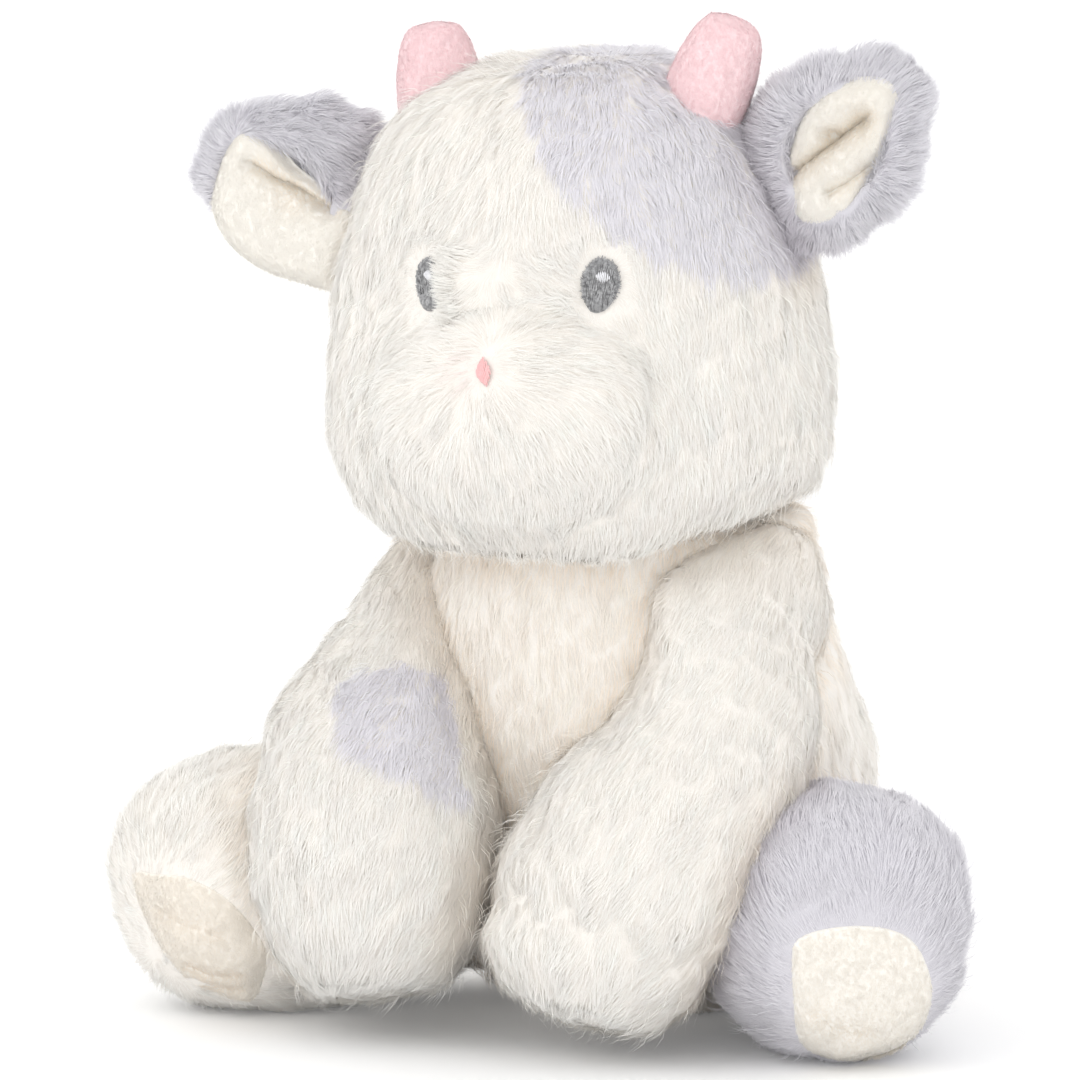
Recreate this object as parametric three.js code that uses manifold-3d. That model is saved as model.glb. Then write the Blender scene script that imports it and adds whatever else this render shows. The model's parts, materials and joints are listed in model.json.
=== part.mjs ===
// A seated plush calf with a rattle sewn into its belly.
// Millimetres, +Z up. The calf faces -Y, so its left side is +X. The origin is on the floor, in the
// middle of the flat that the calf sits on.
// Each cover is a shell of plush with its stuffing as a solid of its own inside it.

import * as THREE from "three";
import { mergeVertices } from "three/addons/utils/BufferGeometryUtils.js";
import Module from "manifold-3d";

const wasm = await Module();
wasm.setup();

const V = (x, y, z) => new THREE.Vector3(x, y, z);
const radians = THREE.MathUtils.degToRad;

// Driving sizes shared by all pieces
const COVER = 2.4; // plush backing with the roots of its pile
const GAP = 0.3; // between pieces that touch
const RUN_GAP = 0.7; // between pieces that turn against each other
const OVERRUN = 60; // how far a cutter runs past what it cuts
const MERGE = 1e-4; // corners nearer than this are one corner

// The torso: a pear that leans forward from its seat to the neck
const NECK_Z = 109;
const FLOOR_CUT = 0.5;
const NECK = { ahead: 2, radius: 19, down: 9, rise: 13 };
const TORSO = {
  sides: 20,
  rings: 10,
  coreSides: 12,
  coreRings: 7,
  fullness: 0.5,
  wide: 53,
  deep: 47,
  from: { x: 0, y: 0, z: -FLOOR_CUT },
  to: { x: 0, y: -18, z: 138 },
};
const TORSO_SHARES = [
  { x: 0, y: 0, z: 0, wide: 0.94, deep: 0.94 },
  { x: 0, y: -0.06, z: 0.25, wide: 1, deep: 1 },
  { x: 0, y: 0.44, z: 0.54, wide: 0.87, deep: 0.89 },
  { x: 0, y: 0.83, z: 0.77, wide: 0.75, deep: 0.77 },
  { x: 0, y: 1, z: 1, wide: 0.64, deep: 0.68 },
];
const SIDE_SEAM_Y = 4;

// The head, upright in its own frame, then rolled a little about the neck
const HEAD_ROLL = 4.5;
const HEAD = {
  sides: 22,
  rings: 12,
  coreSides: 12,
  coreRings: 7,
  fullness: 0.55,
  wide: 61,
  deep: 51,
  from: { x: -5, y: -22, z: 101 },
  to: { x: 0, y: -25, z: 208 },
};
const HEAD_SHARES = [
  { x: 0, y: 0, z: 0, wide: 1, deep: 0.98 },
  { x: 0.5, y: 0.33, z: 0.23, wide: 0.95, deep: 1 },
  { x: 1, y: 0.33, z: 0.55, wide: 0.84, deep: 0.84 },
  { x: 1, y: 0.67, z: 0.78, wide: 0.79, deep: 0.84 },
  { x: 1, y: 1, z: 1, wide: 0.75, deep: 0.8 },
];
const MUZZLE = { y: -56, z: 137, wide: 34, deep: 25, high: 25, sides: 16, rings: 9 };
const PATCH_ACROSS_SHARE = 0.56;
const PATCH = { x: HEAD.wide * PATCH_ACROSS_SHARE, y: -30, z: 199, radius: 38, sides: 18, rings: 12 };
const EYE = { from: 4, rise: 6, turn: 22, wide: 8, high: 10.6, thick: 1.2 };
const GLINT = { across: 0.6, rise: 2.2, wide: 3, high: 2.6, thick: 0.5 };
const NOSE = { across: 0.7, rise: 12, wide: 3.2, high: 6, thick: 1.2 };

// Horns: blunt cones of short pile, sewn to the crown
const HORN = {
  ahead: 3,
  down: { left: 16, right: 18 },
  length: 28.5,
  root: 10.5,
  tip: 8.5,
  sides: 12,
  rings: 7,
  coreSides: 8,
  coreRings: 5,
  fullness: 0.45,
  mouthShare: 0.6,
};
const HORN_ACROSS_SHARES = { left: 0.49, right: -0.44 }; // of the head's width
const HORN_LEAN = { left: 26, right: 2 };

// Ears: leaves cupped to the front, each on a rolled seam
const EAR = {
  sunk: 2,
  down: 5,
  long: 21.5,
  high: 19.5,
  thick: 8.5,
  out: 18,
  seam: 4.2,
  seamLength: 17,
  cup: 9,
  rim: 5,
  lining: 2,
  clear: 2.5,
  sides: 14,
  rings: 7,
  rollSides: 10,
  capRings: 3,
};
const EAR_LIFT = { left: 26, right: 8 };

// Arms: from a round root at the shoulder to a broad hand
const ARM = {
  sides: 12,
  rings: 10,
  coreSides: 8,
  coreRings: 6,
  fullness: 0.48,
  root: 15,
  hole: 8,
  ahead: 3,
  down: 14,
};
const ARM_LEFT = { wide: 31, deep: 26, from: { x: 34, y: -10, z: 103 }, to: { x: 15, y: -72, z: 11 } };
const ARM_RIGHT = {
  wide: 28,
  deep: 26,
  from: { x: -35, y: -10, z: 103 },
  to: { x: -32, y: -68, z: 12 },
};
const ARM_SHARES = {
  left: [
    { x: 0, y: 0, z: 0, wide: 0.48, deep: 0.58 },
    { x: -0.03, y: 0.29, z: 0.25, wide: 0.58, deep: 0.69 },
    { x: 0.05, y: 0.55, z: 0.47, wide: 0.69, deep: 0.81 },
    { x: 0.68, y: 0.81, z: 0.71, wide: 1, deep: 1 },
    { x: 1, y: 1, z: 1, wide: 0.94, deep: 0.92 },
  ],
  right: [
    { x: 0, y: 0, z: 0, wide: 0.54, deep: 0.58 },
    { x: -1.33, y: 0.31, z: 0.25, wide: 0.57, deep: 0.65 },
    { x: -1.33, y: 0.62, z: 0.47, wide: 0.79, deep: 0.81 },
    { x: -0.67, y: 0.86, z: 0.71, wide: 1, deep: 1 },
    { x: 1, y: 1, z: 1, wide: 0.96, deep: 0.92 },
  ],
};
const ARM_PATCH = { x: -30, y: -68, z: 72, radius: 19, sides: 14, rings: 10 };

// Legs: short and thick, each ending in a round foot with a sole
const LEG = {
  sides: 12,
  rings: 10,
  coreSides: 8,
  coreRings: 6,
  fullness: 0.42,
  root: 21,
  hole: 9,
  ahead: 0,
  down: -1,
};
const LEG_LEFT = { wide: 28, deep: 29, from: { x: 34, y: 0, z: 26 }, to: { x: 74, y: -62, z: 29 } };
const LEG_RIGHT = {
  wide: 28,
  deep: 28.5,
  from: { x: -36, y: 0, z: 26 },
  to: { x: -90, y: -59, z: 28.5 },
};
const LEG_SHARES = {
  left: [
    { x: 0, y: 0, z: 0, wide: 0.79, deep: 0.76 },
    { x: 0.31, y: 0.27, z: 0, wide: 0.82, deep: 0.86 },
    { x: 0.57, y: 0.52, z: 0.5, wide: 0.93, deep: 0.97 },
    { x: 0.81, y: 0.76, z: 0.83, wide: 1, deep: 1 },
    { x: 1, y: 1, z: 1, wide: 0.93, deep: 0.93 },
  ],
  right: [
    { x: 0, y: 0, z: 0, wide: 0.79, deep: 0.77 },
    { x: 0.24, y: 0.24, z: 0, wide: 0.82, deep: 0.88 },
    { x: 0.48, y: 0.47, z: 0.4, wide: 0.93, deep: 0.96 },
    { x: 0.78, y: 0.75, z: 0.8, wide: 1, deep: 1 },
    { x: 1, y: 1, z: 1, wide: 0.93, deep: 0.95 },
  ],
};
const SOLE = { radius: 15.5, down: 8, turn: { left: 34, right: -16 }, tilt: 6 };

// The tail, a thin tube with a tuft
const TAIL = {
  sunk: 5,
  root: 5.5,
  wide: 4.2,
  drop: 20,
  back: 20,
  tuft: 9,
  tuftLong: 13,
  tuftBack: 3,
  clear: 2,
  sides: 10,
  rings: 8,
  fullness: 0.4,
};

const TAIL_SHARES = [0, 0.35, 0.7, 1];
const TUFT_SHARES = [
  { along: 0, back: 0, wide: 0.7, deep: 0.7 },
  { along: 0.5, back: 0.65, wide: 1, deep: 0.8 },
  { along: 1, back: 1, wide: 0.7, deep: 0.6 },
];

// The rattle: a two-part case of loose balls in a fabric pouch, in the middle of the belly
const RATTLE = { y: -3, z: 52, radius: 17, high: 24, wall: 1.5, corner: 4, lip: 2.5 };
const POUCH = { wall: 0.8, neck: 5, neckHigh: 5 };
const BALL = { radius: 3, ring: 9, count: 5, sides: 8, rings: 6 };
const ROUND = 16; // sides of round rods and of the case
const ROOT_FACES = { sides: 14, rings: 8 };
const STEEP_SHARE = 0.9; // a line rising more than this takes its sides from straight ahead

// How far an arm and a leg turn from rest, in degrees
const ARM_RAISE = 30;
const LEG_SPREAD = 20;

// Colours
const look = (color, roughness) =>
  new THREE.MeshStandardMaterial({ color, roughness, metalness: 0 });
const CREAM_PLUSH = look(0xf3efe6, 0.95);
const GREY_PLUSH = look(0xd5d3da, 0.95);
const PALE_PLUSH = look(0xf4ecd9, 0.9);
const PINK_PLUSH = look(0xf7d3d8, 0.9);
const GREY_THREAD = look(0x7d7d7d, 0.6);
const WHITE_THREAD = look(0xf4f4f8, 0.5);
const PINK_THREAD = look(0xf6b6b8, 0.6);
const FILLING = look(0xf8f8f6, 1);
const CASE_PLASTIC = look(0xe8eef2, 0.4);
const BALL_PLASTIC = look(0x9fc4d8, 0.3);
const POUCH_CLOTH = look(0xefefef, 0.9);

// Solids

function solidOf(geometry) {
  const bare = geometry.clone();
  bare.deleteAttribute("normal");
  bare.deleteAttribute("uv");
  const merged = mergeVertices(bare, MERGE);
  return new wasm.Manifold(
    new wasm.Mesh({
      numProp: 3,
      vertProperties: merged.attributes.position.array,
      triVerts: new Uint32Array(merged.index.array),
    }),
  );
}

// The same solid whichever way the geometry's faces were wound
function facingOut(geometry) {
  const made = solidOf(geometry);
  if (made.volume() > 0) return made;
  const turnedOver = geometry.clone();
  turnedOver.setIndex(Array.from(geometry.index.array).reverse());
  return solidOf(turnedOver);
}

const placed = (at, turn = new THREE.Euler()) =>
  new THREE.Matrix4().makeRotationFromEuler(turn).setPosition(at);
const moved = (geometry, at, turn) => solidOf(geometry.applyMatrix4(placed(at, turn)));

// The solid turned about an axis through a pivot; axis is a unit vector and angle is in degrees
function turnedAbout(solid, pivot, axis, angle) {
  const turn = new THREE.Matrix4().makeRotationAxis(axis, radians(angle));
  const there = new THREE.Matrix4().makeTranslation(pivot.x, pivot.y, pivot.z);
  const back = new THREE.Matrix4().makeTranslation(-pivot.x, -pivot.y, -pivot.z);
  return solid.transform(there.multiply(turn).multiply(back).elements);
}

// What is left of a moving form once a neighbour is cut out of it all along its turn
function clearOf(form, neighbour, pivot, axis, angles) {
  return angles.reduce(
    (left, angle) => left.subtract(turnedAbout(neighbour, pivot, axis, -angle)),
    form,
  );
}

function largest(solid) {
  return solid.decompose().reduce((a, b) => (b.volume() > a.volume() ? b : a));
}

// The stations of a form: places in shares of the way from its first to its last, and half sizes in
// shares of its widest and its deepest
function stationsOf({ from, to, wide, deep }, shares) {
  const { lerp } = THREE.MathUtils;
  return shares.map((share) => ({
    at: V(lerp(from.x, to.x, share.x), lerp(from.y, to.y, share.y), lerp(from.z, to.z, share.z)),
    wide: wide * share.wide,
    deep: deep * share.deep,
  }));
}

const TORSO_STATIONS = stationsOf(TORSO, TORSO_SHARES);
const HEAD_STATIONS = stationsOf(HEAD, HEAD_SHARES);
const ARM_STATIONS = {
  left: stationsOf(ARM_LEFT, ARM_SHARES.left),
  right: stationsOf(ARM_RIGHT, ARM_SHARES.right),
};
const LEG_STATIONS = {
  left: stationsOf(LEG_LEFT, LEG_SHARES.left),
  right: stationsOf(LEG_RIGHT, LEG_SHARES.right),
};

// A stuffed form: rings along a curve through the stations. It swells and tapers between them, and
// closes round at both ends. inset draws its whole surface in by that much, and below 0 lets it out.
// What is drawn in is a core that no one sees, so it has fewer sides.
function stuffed(shape, stations, inset = 0) {
  const { fullness } = shape;
  const sides = inset > 0 ? shape.coreSides : shape.sides;
  const rings = inset > 0 ? shape.coreRings : shape.rings;
  const line = new THREE.CatmullRomCurve3(stations.map((s) => s.at));
  const sizes = new THREE.CatmullRomCurve3(stations.map((s) => V(s.wide, s.deep, 0)));
  const drawnIn = inset / line.getLength();
  const points = [];
  for (let i = 0; i <= rings; i++) {
    const angle = (Math.PI * i) / rings;
    const share = THREE.MathUtils.lerp(drawnIn, 1 - drawnIn, (1 - Math.cos(angle)) / 2);
    const along = THREE.MathUtils.clamp(share, 0, 1);
    const tangent = line.getTangent(along);
    const centre = line.getPoint(along).addScaledVector(tangent, (share - along) * line.getLength());
    if (i === 0 || i === rings) {
      points.push(centre);
      continue;
    }
    const across = Math.abs(tangent.z) > STEEP_SHARE ? V(0, -1, 0) : V(0, 0, 1);
    const side = V(0, 0, 0).crossVectors(tangent, across).normalize();
    const up = V(0, 0, 0).crossVectors(side, tangent);
    const size = sizes.getPoint(along).subScalar(inset).multiplyScalar(Math.sin(angle) ** fullness);
    for (let j = 0; j < sides; j++) {
      const turn = (2 * Math.PI * j) / sides;
      points.push(
        centre
          .clone()
          .addScaledVector(side, size.x * Math.cos(turn))
          .addScaledVector(up, size.y * Math.sin(turn)),
      );
    }
  }
  const ring = (i, j) => 1 + (i - 1) * sides + (j % sides);
  const last = points.length - 1;
  const faces = [];
  for (let j = 0; j < sides; j++) {
    faces.push(0, ring(1, j), ring(1, j + 1));
    faces.push(last, ring(rings - 1, j + 1), ring(rings - 1, j));
    for (let i = 1; i < rings - 1; i++) {
      faces.push(ring(i, j), ring(i + 1, j), ring(i + 1, j + 1));
      faces.push(ring(i, j), ring(i + 1, j + 1), ring(i, j + 1));
    }
  }
  return facingOut(new THREE.BufferGeometry().setFromPoints(points).setIndex(faces));
}

function ellipsoid({ sides, rings }, at, wide, deep, high) {
  return moved(new THREE.SphereGeometry(1, sides, rings).scale(wide, deep, high), at);
}

// The ball whose cut through a cover is a patch of another colour
function patchBall(patch, more) {
  const radius = patch.radius + more;
  return ellipsoid(patch, V(patch.x, patch.y, patch.z), radius, radius, radius);
}

const SIDEWAYS = new THREE.Euler(0, 0, Math.PI / 2);
const UPRIGHT = new THREE.Euler(Math.PI / 2, 0, 0);

// A ball with its poles on the axis that it turns about, so it clears a socket of the same count
function ball(at, radius, poles = SIDEWAYS) {
  return moved(new THREE.SphereGeometry(radius, ROOT_FACES.sides, ROOT_FACES.rings), at, poles);
}

// A rod from one point to another
function rod(from, to, radius, sides = ROUND) {
  const span = to.clone().sub(from);
  const turn = new THREE.Quaternion().setFromUnitVectors(V(0, 1, 0), span.clone().normalize());
  const middle = from.clone().addScaledVector(span, 0.5);
  const frame = new THREE.Matrix4().compose(middle, turn, V(1, 1, 1));
  return solidOf(new THREE.CylinderGeometry(radius, radius, span.length(), sides).applyMatrix4(frame));
}

const SPACE = 600;
const above = (z) => moved(new THREE.BoxGeometry(SPACE, SPACE, SPACE), V(0, 0, z + SPACE / 2));
const below = (z) => moved(new THREE.BoxGeometry(SPACE, SPACE, SPACE), V(0, 0, z - SPACE / 2));
const ahead = (y) => moved(new THREE.BoxGeometry(SPACE, SPACE, SPACE), V(0, y - SPACE / 2, 0));
const behind = (y) => moved(new THREE.BoxGeometry(SPACE, SPACE, SPACE), V(0, y + SPACE / 2, 0));

function meshOf(name, solid, material, pivot) {
  const body = largest(solid).translate([-pivot.x, -pivot.y, -pivot.z]);
  const { numProp, vertProperties, triVerts } = body.getMesh();
  const position = new Float32Array((vertProperties.length / numProp) * 3);
  for (let i = 0; i < position.length; i++) {
    position[i] = vertProperties[Math.floor(i / 3) * numProp + (i % 3)];
  }
  const geometry = new THREE.BufferGeometry()
    .setAttribute("position", new THREE.BufferAttribute(position, 3))
    .setIndex(new THREE.BufferAttribute(new Uint32Array(triVerts), 1));
  geometry.computeVertexNormals();
  const mesh = new THREE.Mesh(geometry, material);
  mesh.name = name;
  return mesh;
}

// A group at its pivot, holding one named mesh for each [name, solid, material]
function groupAt(pivot, pieces) {
  const group = new THREE.Group();
  group.position.copy(pivot);
  for (const [name, solid, material] of pieces) {
    group.add(meshOf(name, solid, material, pivot));
  }
  return group;
}

// Forms that others are cut by, each drawn in by inset

const [, , brow, temple, crown] = HEAD_STATIONS;

const torsoForm = (inset) =>
  stuffed(TORSO, TORSO_STATIONS, inset)
    .intersect(above(Math.max(inset, 0)))
    .intersect(below(NECK_Z - GAP / 2 - Math.max(inset, 0)));

const rollAbout = V(0, TORSO_STATIONS[3].at.y - NECK.ahead, NECK_Z);
function rolled(solid) {
  return solid
    .translate([-rollAbout.x, -rollAbout.y, -rollAbout.z])
    .rotate([0, -HEAD_ROLL, 0])
    .translate([rollAbout.x, rollAbout.y, rollAbout.z]);
}
const overNeck = (inset) => above(NECK_Z + GAP / 2 + Math.max(inset, 0));
const muzzleForm = (inset) =>
  ellipsoid(
    MUZZLE,
    V(0, MUZZLE.y, MUZZLE.z),
    MUZZLE.wide - inset,
    MUZZLE.deep - inset,
    MUZZLE.high - inset,
  );
const headForm = (inset) =>
  rolled(stuffed(HEAD, HEAD_STATIONS, inset).add(muzzleForm(inset))).intersect(overNeck(inset));

const rootPlace = (limb, stations) => stations[0].at.clone().add(V(0, -limb.ahead, -limb.down));
const rootPlaces = (limb, stations) => ({
  left: rootPlace(limb, stations.left),
  right: rootPlace(limb, stations.right),
});
const SHOULDER = rootPlaces(ARM, ARM_STATIONS);
const HIP = rootPlaces(LEG, LEG_STATIONS);
const RAISE_AXIS = V(-1, 0, 0);
const spreadAxis = (side) => V(0, 0, side === "left" ? 1 : -1);

function armForm(side, inset) {
  const pivot = SHOULDER[side];
  const angles = [0, ARM_RAISE / 2, ARM_RAISE];
  const roof = above(NECK_Z - RUN_GAP - Math.max(inset, 0));
  const limb = [torsoForm(-RUN_GAP - inset), roof].reduce(
    (left, neighbour) => clearOf(left, neighbour, pivot, RAISE_AXIS, angles),
    stuffed(ARM, ARM_STATIONS[side], inset),
  );
  return limb.add(ball(pivot, ARM.root - inset)).intersect(above(Math.max(inset, 0)));
}

function legForm(side, inset) {
  const pivot = HIP[side];
  const angles = [0, LEG_SPREAD / 2, LEG_SPREAD];
  const limb = clearOf(
    stuffed(LEG, LEG_STATIONS[side], inset),
    torsoForm(-RUN_GAP - inset),
    pivot,
    spreadAxis(side),
    angles,
  ).add(ball(pivot, LEG.root - inset, UPRIGHT));
  const bare = clearOf(limb, armForm(side, -GAP - inset), pivot, spreadAxis(side), angles);
  return largest(bare.intersect(above(Math.max(inset, 0))));
}

const sockets = ["left", "right"].flatMap((side) => [
  ball(SHOULDER[side], ARM.root + RUN_GAP),
  ball(HIP[side], LEG.root + RUN_GAP, UPRIGHT),
]);
const withSockets = (solid) => sockets.reduce((left, socket) => left.subtract(socket), solid);
const neckColumn = (more) =>
  rod(
    rollAbout.clone().add(V(0, 0, -NECK.down - more)),
    rollAbout.clone().add(V(0, 0, NECK.rise + more)),
    NECK.radius + more,
  );

// Torso

const casePlace = V(0, RATTLE.y, RATTLE.z);

// A body of revolution about +Z from [radius, height] points, set down at the rattle's place
function turned(outline) {
  const points = outline.map(([radius, height]) => new THREE.Vector2(radius, height));
  const upright = new THREE.Euler(Math.PI / 2, 0, 0);
  return facingOut(new THREE.LatheGeometry(points, ROUND).applyMatrix4(placed(casePlace, upright)));
}

// Half of the case: half is -1 for the lower cup and 1 for the upper cap. The cup's inner lip stands
// up inside the cap's outer wall.
function caseHalf(half) {
  const { radius, high, wall, corner, lip } = RATTLE;
  const end = (half * high) / 2;
  const seam = (half * GAP) / 2;
  const lipTop = half < 0 ? lip : lip + GAP;
  const lipSide = radius - wall / 2 + seam;
  return turned([
    [0, end],
    [radius - corner, end],
    [radius, end - half * corner],
    [radius, seam],
    [lipSide, seam],
    [lipSide, lipTop],
    [radius - wall, lipTop],
    [radius - wall, end - half * corner],
    [radius - corner, end - half * wall],
    [0, end - half * wall],
  ]);
}

// The pouch's outline from its floor to its neck, that much outside the case
function pouchLayer(more) {
  const { radius, high, corner } = RATTLE;
  const half = high / 2;
  return [
    [0, -half - more],
    [radius - corner + more, -half - more],
    [radius + more, -half + corner],
    [radius + more, half - corner],
    [radius - corner + more, half + more],
    [POUCH.neck + more, half + more + POUCH.neckHigh / 2],
    [POUCH.neck + more, half + POUCH.neckHigh],
  ];
}

const pouch = turned([...pouchLayer(GAP + POUCH.wall), ...pouchLayer(GAP).reverse()]);
const pouchRoom = turned([
  ...pouchLayer(2 * GAP + POUCH.wall),
  [0, RATTLE.high / 2 + POUCH.neckHigh + GAP],
]);

function torsoPieces() {
  const tailSocket = tailRoot(RUN_GAP);
  const shell = withSockets(torsoForm(0).subtract(torsoForm(COVER)).subtract(neckColumn(GAP)));
  const filling = withSockets(torsoForm(COVER + GAP))
    .subtract(pouchRoom)
    .subtract(neckColumn(GAP))
    .subtract(tailSocket);
  const backPanel = shell.intersect(behind(SIDE_SEAM_Y + GAP / 2)).subtract(tailSocket);
  return [
    ["body_front_panel", shell.intersect(ahead(SIDE_SEAM_Y - GAP / 2)), CREAM_PLUSH],
    ["body_back_panel", backPanel, CREAM_PLUSH],
    ["body_stuffing_lower", filling.intersect(below(RATTLE.z - GAP / 2)), FILLING],
    ["body_stuffing_upper", filling.intersect(above(RATTLE.z + GAP / 2)), FILLING],
    ["neck_stuffing", neckColumn(0), FILLING],
    ["rattle_pouch", pouch, POUCH_CLOTH],
    ["rattle_case_lower", caseHalf(-1), CASE_PLASTIC],
    ["rattle_case_upper", caseHalf(1), CASE_PLASTIC],
  ];
}

// Rattle balls, resting on the floor of the case

function ballPlace(index) {
  const turn = (2 * Math.PI * index) / BALL.count;
  return V(
    BALL.ring * Math.cos(turn),
    RATTLE.y + BALL.ring * Math.sin(turn),
    RATTLE.z - RATTLE.high / 2 + RATTLE.wall + GAP + BALL.radius,
  );
}

function rattleBall(index) {
  const place = ballPlace(index);
  const made = ellipsoid(BALL, place, BALL.radius, BALL.radius, BALL.radius);
  return groupAt(place, [["rattle_ball_" + (index + 1), made, BALL_PLASTIC]]);
}

// Head

const headFrame = (at) =>
  at.clone().sub(rollAbout).applyAxisAngle(V(0, 1, 0), radians(-HEAD_ROLL)).add(rollAbout);

// An oval rod through the face at x, z, level and turned outwards from straight ahead
function facePlug(x, z, turn, wide, high) {
  const plug = new THREE.CylinderGeometry(1, 1, OVERRUN, ROUND).scale(wide / 2, 1, high / 2);
  plug.translate(0, -OVERRUN / 2, 0);
  const place = V(x, brow.at.y, z);
  const frame = new THREE.Matrix4().makeRotationZ(radians(turn)).setPosition(place);
  return solidOf(plug.applyMatrix4(frame));
}

// A thin layer on the outside of a form, from low to high above it, under a plug
function layerOn(low, high, plug) {
  return largest(headForm(-high).subtract(headForm(-low)).intersect(rolled(plug)));
}

function eyePieces(side) {
  const sign = side === "left" ? 1 : -1;
  const turn = sign * EYE.turn;
  const start = sign * EYE.from;
  const height = brow.at.z + EYE.rise;
  const eyePlug = facePlug(start, height, turn, EYE.wide, EYE.high);
  const glintPlug = facePlug(
    start + GLINT.across,
    height + GLINT.rise,
    turn,
    GLINT.wide,
    GLINT.high,
  );
  const low = 2 * GAP + EYE.thick;
  return [
    [`eye_${side}`, layerOn(GAP, GAP + EYE.thick, eyePlug), GREY_THREAD],
    [`eye_${side}_glint`, layerOn(low, low + GLINT.thick, glintPlug), WHITE_THREAD],
  ];
}

// A place on the horn's axis, as a share of its length from the root
function hornPlace(side, share) {
  const lean = radians(HORN_LEAN[side]);
  const sign = side === "left" ? 1 : -1;
  const along = V(sign * Math.sin(lean), 0, Math.cos(lean));
  const root = V(
    HEAD.wide * HORN_ACROSS_SHARES[side],
    crown.at.y - HORN.ahead,
    crown.at.z - HORN.down[side],
  );
  return root.addScaledVector(along, HORN.length * share);
}

function hornForm(side, inset) {
  const station = (share, radius) => ({ at: hornPlace(side, share), wide: radius, deep: radius });
  const stations = [
    station(0, HORN.root),
    station(0.5, (HORN.root + HORN.tip) / 2),
    station(1, HORN.tip),
  ];
  return rolled(stuffed(HORN, stations, inset)).subtract(headForm(-GAP - inset));
}

function hornPieces(side) {
  const mouthEnd = hornPlace(side, HORN.mouthShare);
  const mouth = rolled(rod(hornPlace(side, 0), mouthEnd, HORN.root / 2, HORN.coreSides));
  const cover = hornForm(side, 0).subtract(hornForm(side, COVER)).subtract(mouth);
  return [
    [`horn_${side}_cover`, cover, PINK_PLUSH],
    [`horn_${side}_stuffing`, hornForm(side, COVER + GAP), FILLING],
  ];
}

function earPlace(side) {
  const across = temple.wide - EAR.sunk;
  return V(side === "left" ? across : -across, temple.at.y, temple.at.z - EAR.down);
}

function earFrame(side) {
  const lift = radians(EAR_LIFT[side]);
  const turn = side === "left" ? -lift : Math.PI + lift;
  return new THREE.Matrix4().makeRotationY(turn).setPosition(earPlace(side));
}

// The ear is made pointing along +X with its cup to the front, then set on its side of the head
function earSolid(side, geometry, at, turn) {
  return rolled(solidOf(geometry.applyMatrix4(placed(at, turn)).applyMatrix4(earFrame(side))));
}

function earRoll(side, more) {
  const forward = side === "left" ? 1 : -1;
  const capsule = new THREE.CapsuleGeometry(EAR.seam + more, EAR.seamLength, EAR.capRings, EAR.rollSides);
  return earSolid(side, capsule, V(0, 0, 0), new THREE.Euler((forward * Math.PI) / 2, 0, 0));
}

function earPieces(side) {
  const oval = (long, deep, high, at) =>
    earSolid(side, new THREE.SphereGeometry(1, EAR.sides, EAR.rings).scale(long, deep, high), at);
  const leaf = oval(EAR.long, EAR.thick, EAR.high, V(EAR.out, 0, 0));
  const bowl = (inset) =>
    oval(
      EAR.long - EAR.rim - inset,
      EAR.cup - inset,
      EAR.high - EAR.rim - inset,
      V(EAR.out + EAR.rim / 2, EAR.rim / 2 - EAR.thick, 0),
    );
  const headRoom = headForm(-EAR.clear);
  const back = leaf.subtract(bowl(0)).subtract(headRoom).add(earRoll(side, 0));
  const lining = bowl(GAP)
    .subtract(bowl(GAP + EAR.lining))
    .intersect(leaf)
    .subtract(headRoom)
    .subtract(earRoll(side, GAP));
  return groupAt(headFrame(earPlace(side)), [
    [`ear_${side}_back`, back, GREY_PLUSH],
    [`ear_${side}_lining`, lining, PALE_PLUSH],
  ]);
}

function headPieces() {
  const patchRoom = (more) => rolled(patchBall(PATCH, more));
  const rolls = ["left", "right"].map((side) => earRoll(side, RUN_GAP));
  const shell = rolls.reduce(
    (left, roll) => left.subtract(roll),
    headForm(0).subtract(headForm(COVER)).subtract(neckColumn(RUN_GAP)),
  );
  const filling = rolls.reduce((left, roll) => left.subtract(roll), headForm(COVER + GAP));
  const nose = layerOn(GAP, GAP + NOSE.thick, facePlug(NOSE.across, MUZZLE.z + NOSE.rise, 0, NOSE.wide, NOSE.high));
  return groupAt(rollAbout, [
    ["head_cover", shell.subtract(patchRoom(GAP)), CREAM_PLUSH],
    ["head_patch", shell.intersect(patchRoom(0)), GREY_PLUSH],
    ["head_stuffing", filling.subtract(neckColumn(RUN_GAP)), FILLING],
    ["nose_stitch", nose, PINK_THREAD],
    ...eyePieces("left"),
    ...eyePieces("right"),
    ...hornPieces("left"),
    ...hornPieces("right"),
  ]);
}

// Limbs

function rootHole(pivot, radius) {
  const inwards = V(TORSO_STATIONS[1].at.x, TORSO_STATIONS[1].at.y, pivot.z);
  return rod(pivot, inwards, radius);
}

function armGroup(side) {
  const cover = armForm(side, 0)
    .subtract(armForm(side, COVER))
    .subtract(rootHole(SHOULDER[side], ARM.hole));
  const filling = armForm(side, COVER + GAP);
  if (side === "left") {
    return groupAt(SHOULDER.left, [
      ["arm_left_cover", cover, CREAM_PLUSH],
      ["arm_left_stuffing", filling, FILLING],
    ]);
  }
  return groupAt(SHOULDER.right, [
    ["arm_right_cover", cover.subtract(patchBall(ARM_PATCH, GAP)), CREAM_PLUSH],
    ["arm_right_patch", cover.intersect(patchBall(ARM_PATCH, 0)), GREY_PLUSH],
    ["arm_right_stuffing", filling, FILLING],
  ]);
}

function solePlug(side, more) {
  const foot = LEG_STATIONS[side][3];
  const turn = radians(SOLE.turn[side]);
  const tilt = radians(SOLE.tilt);
  const along = V(Math.sin(turn) * Math.cos(tilt), -Math.cos(turn) * Math.cos(tilt), -Math.sin(tilt));
  const from = foot.at.clone().add(V(0, 0, -SOLE.down));
  return rod(from, from.clone().addScaledVector(along, OVERRUN), SOLE.radius + more);
}

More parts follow.
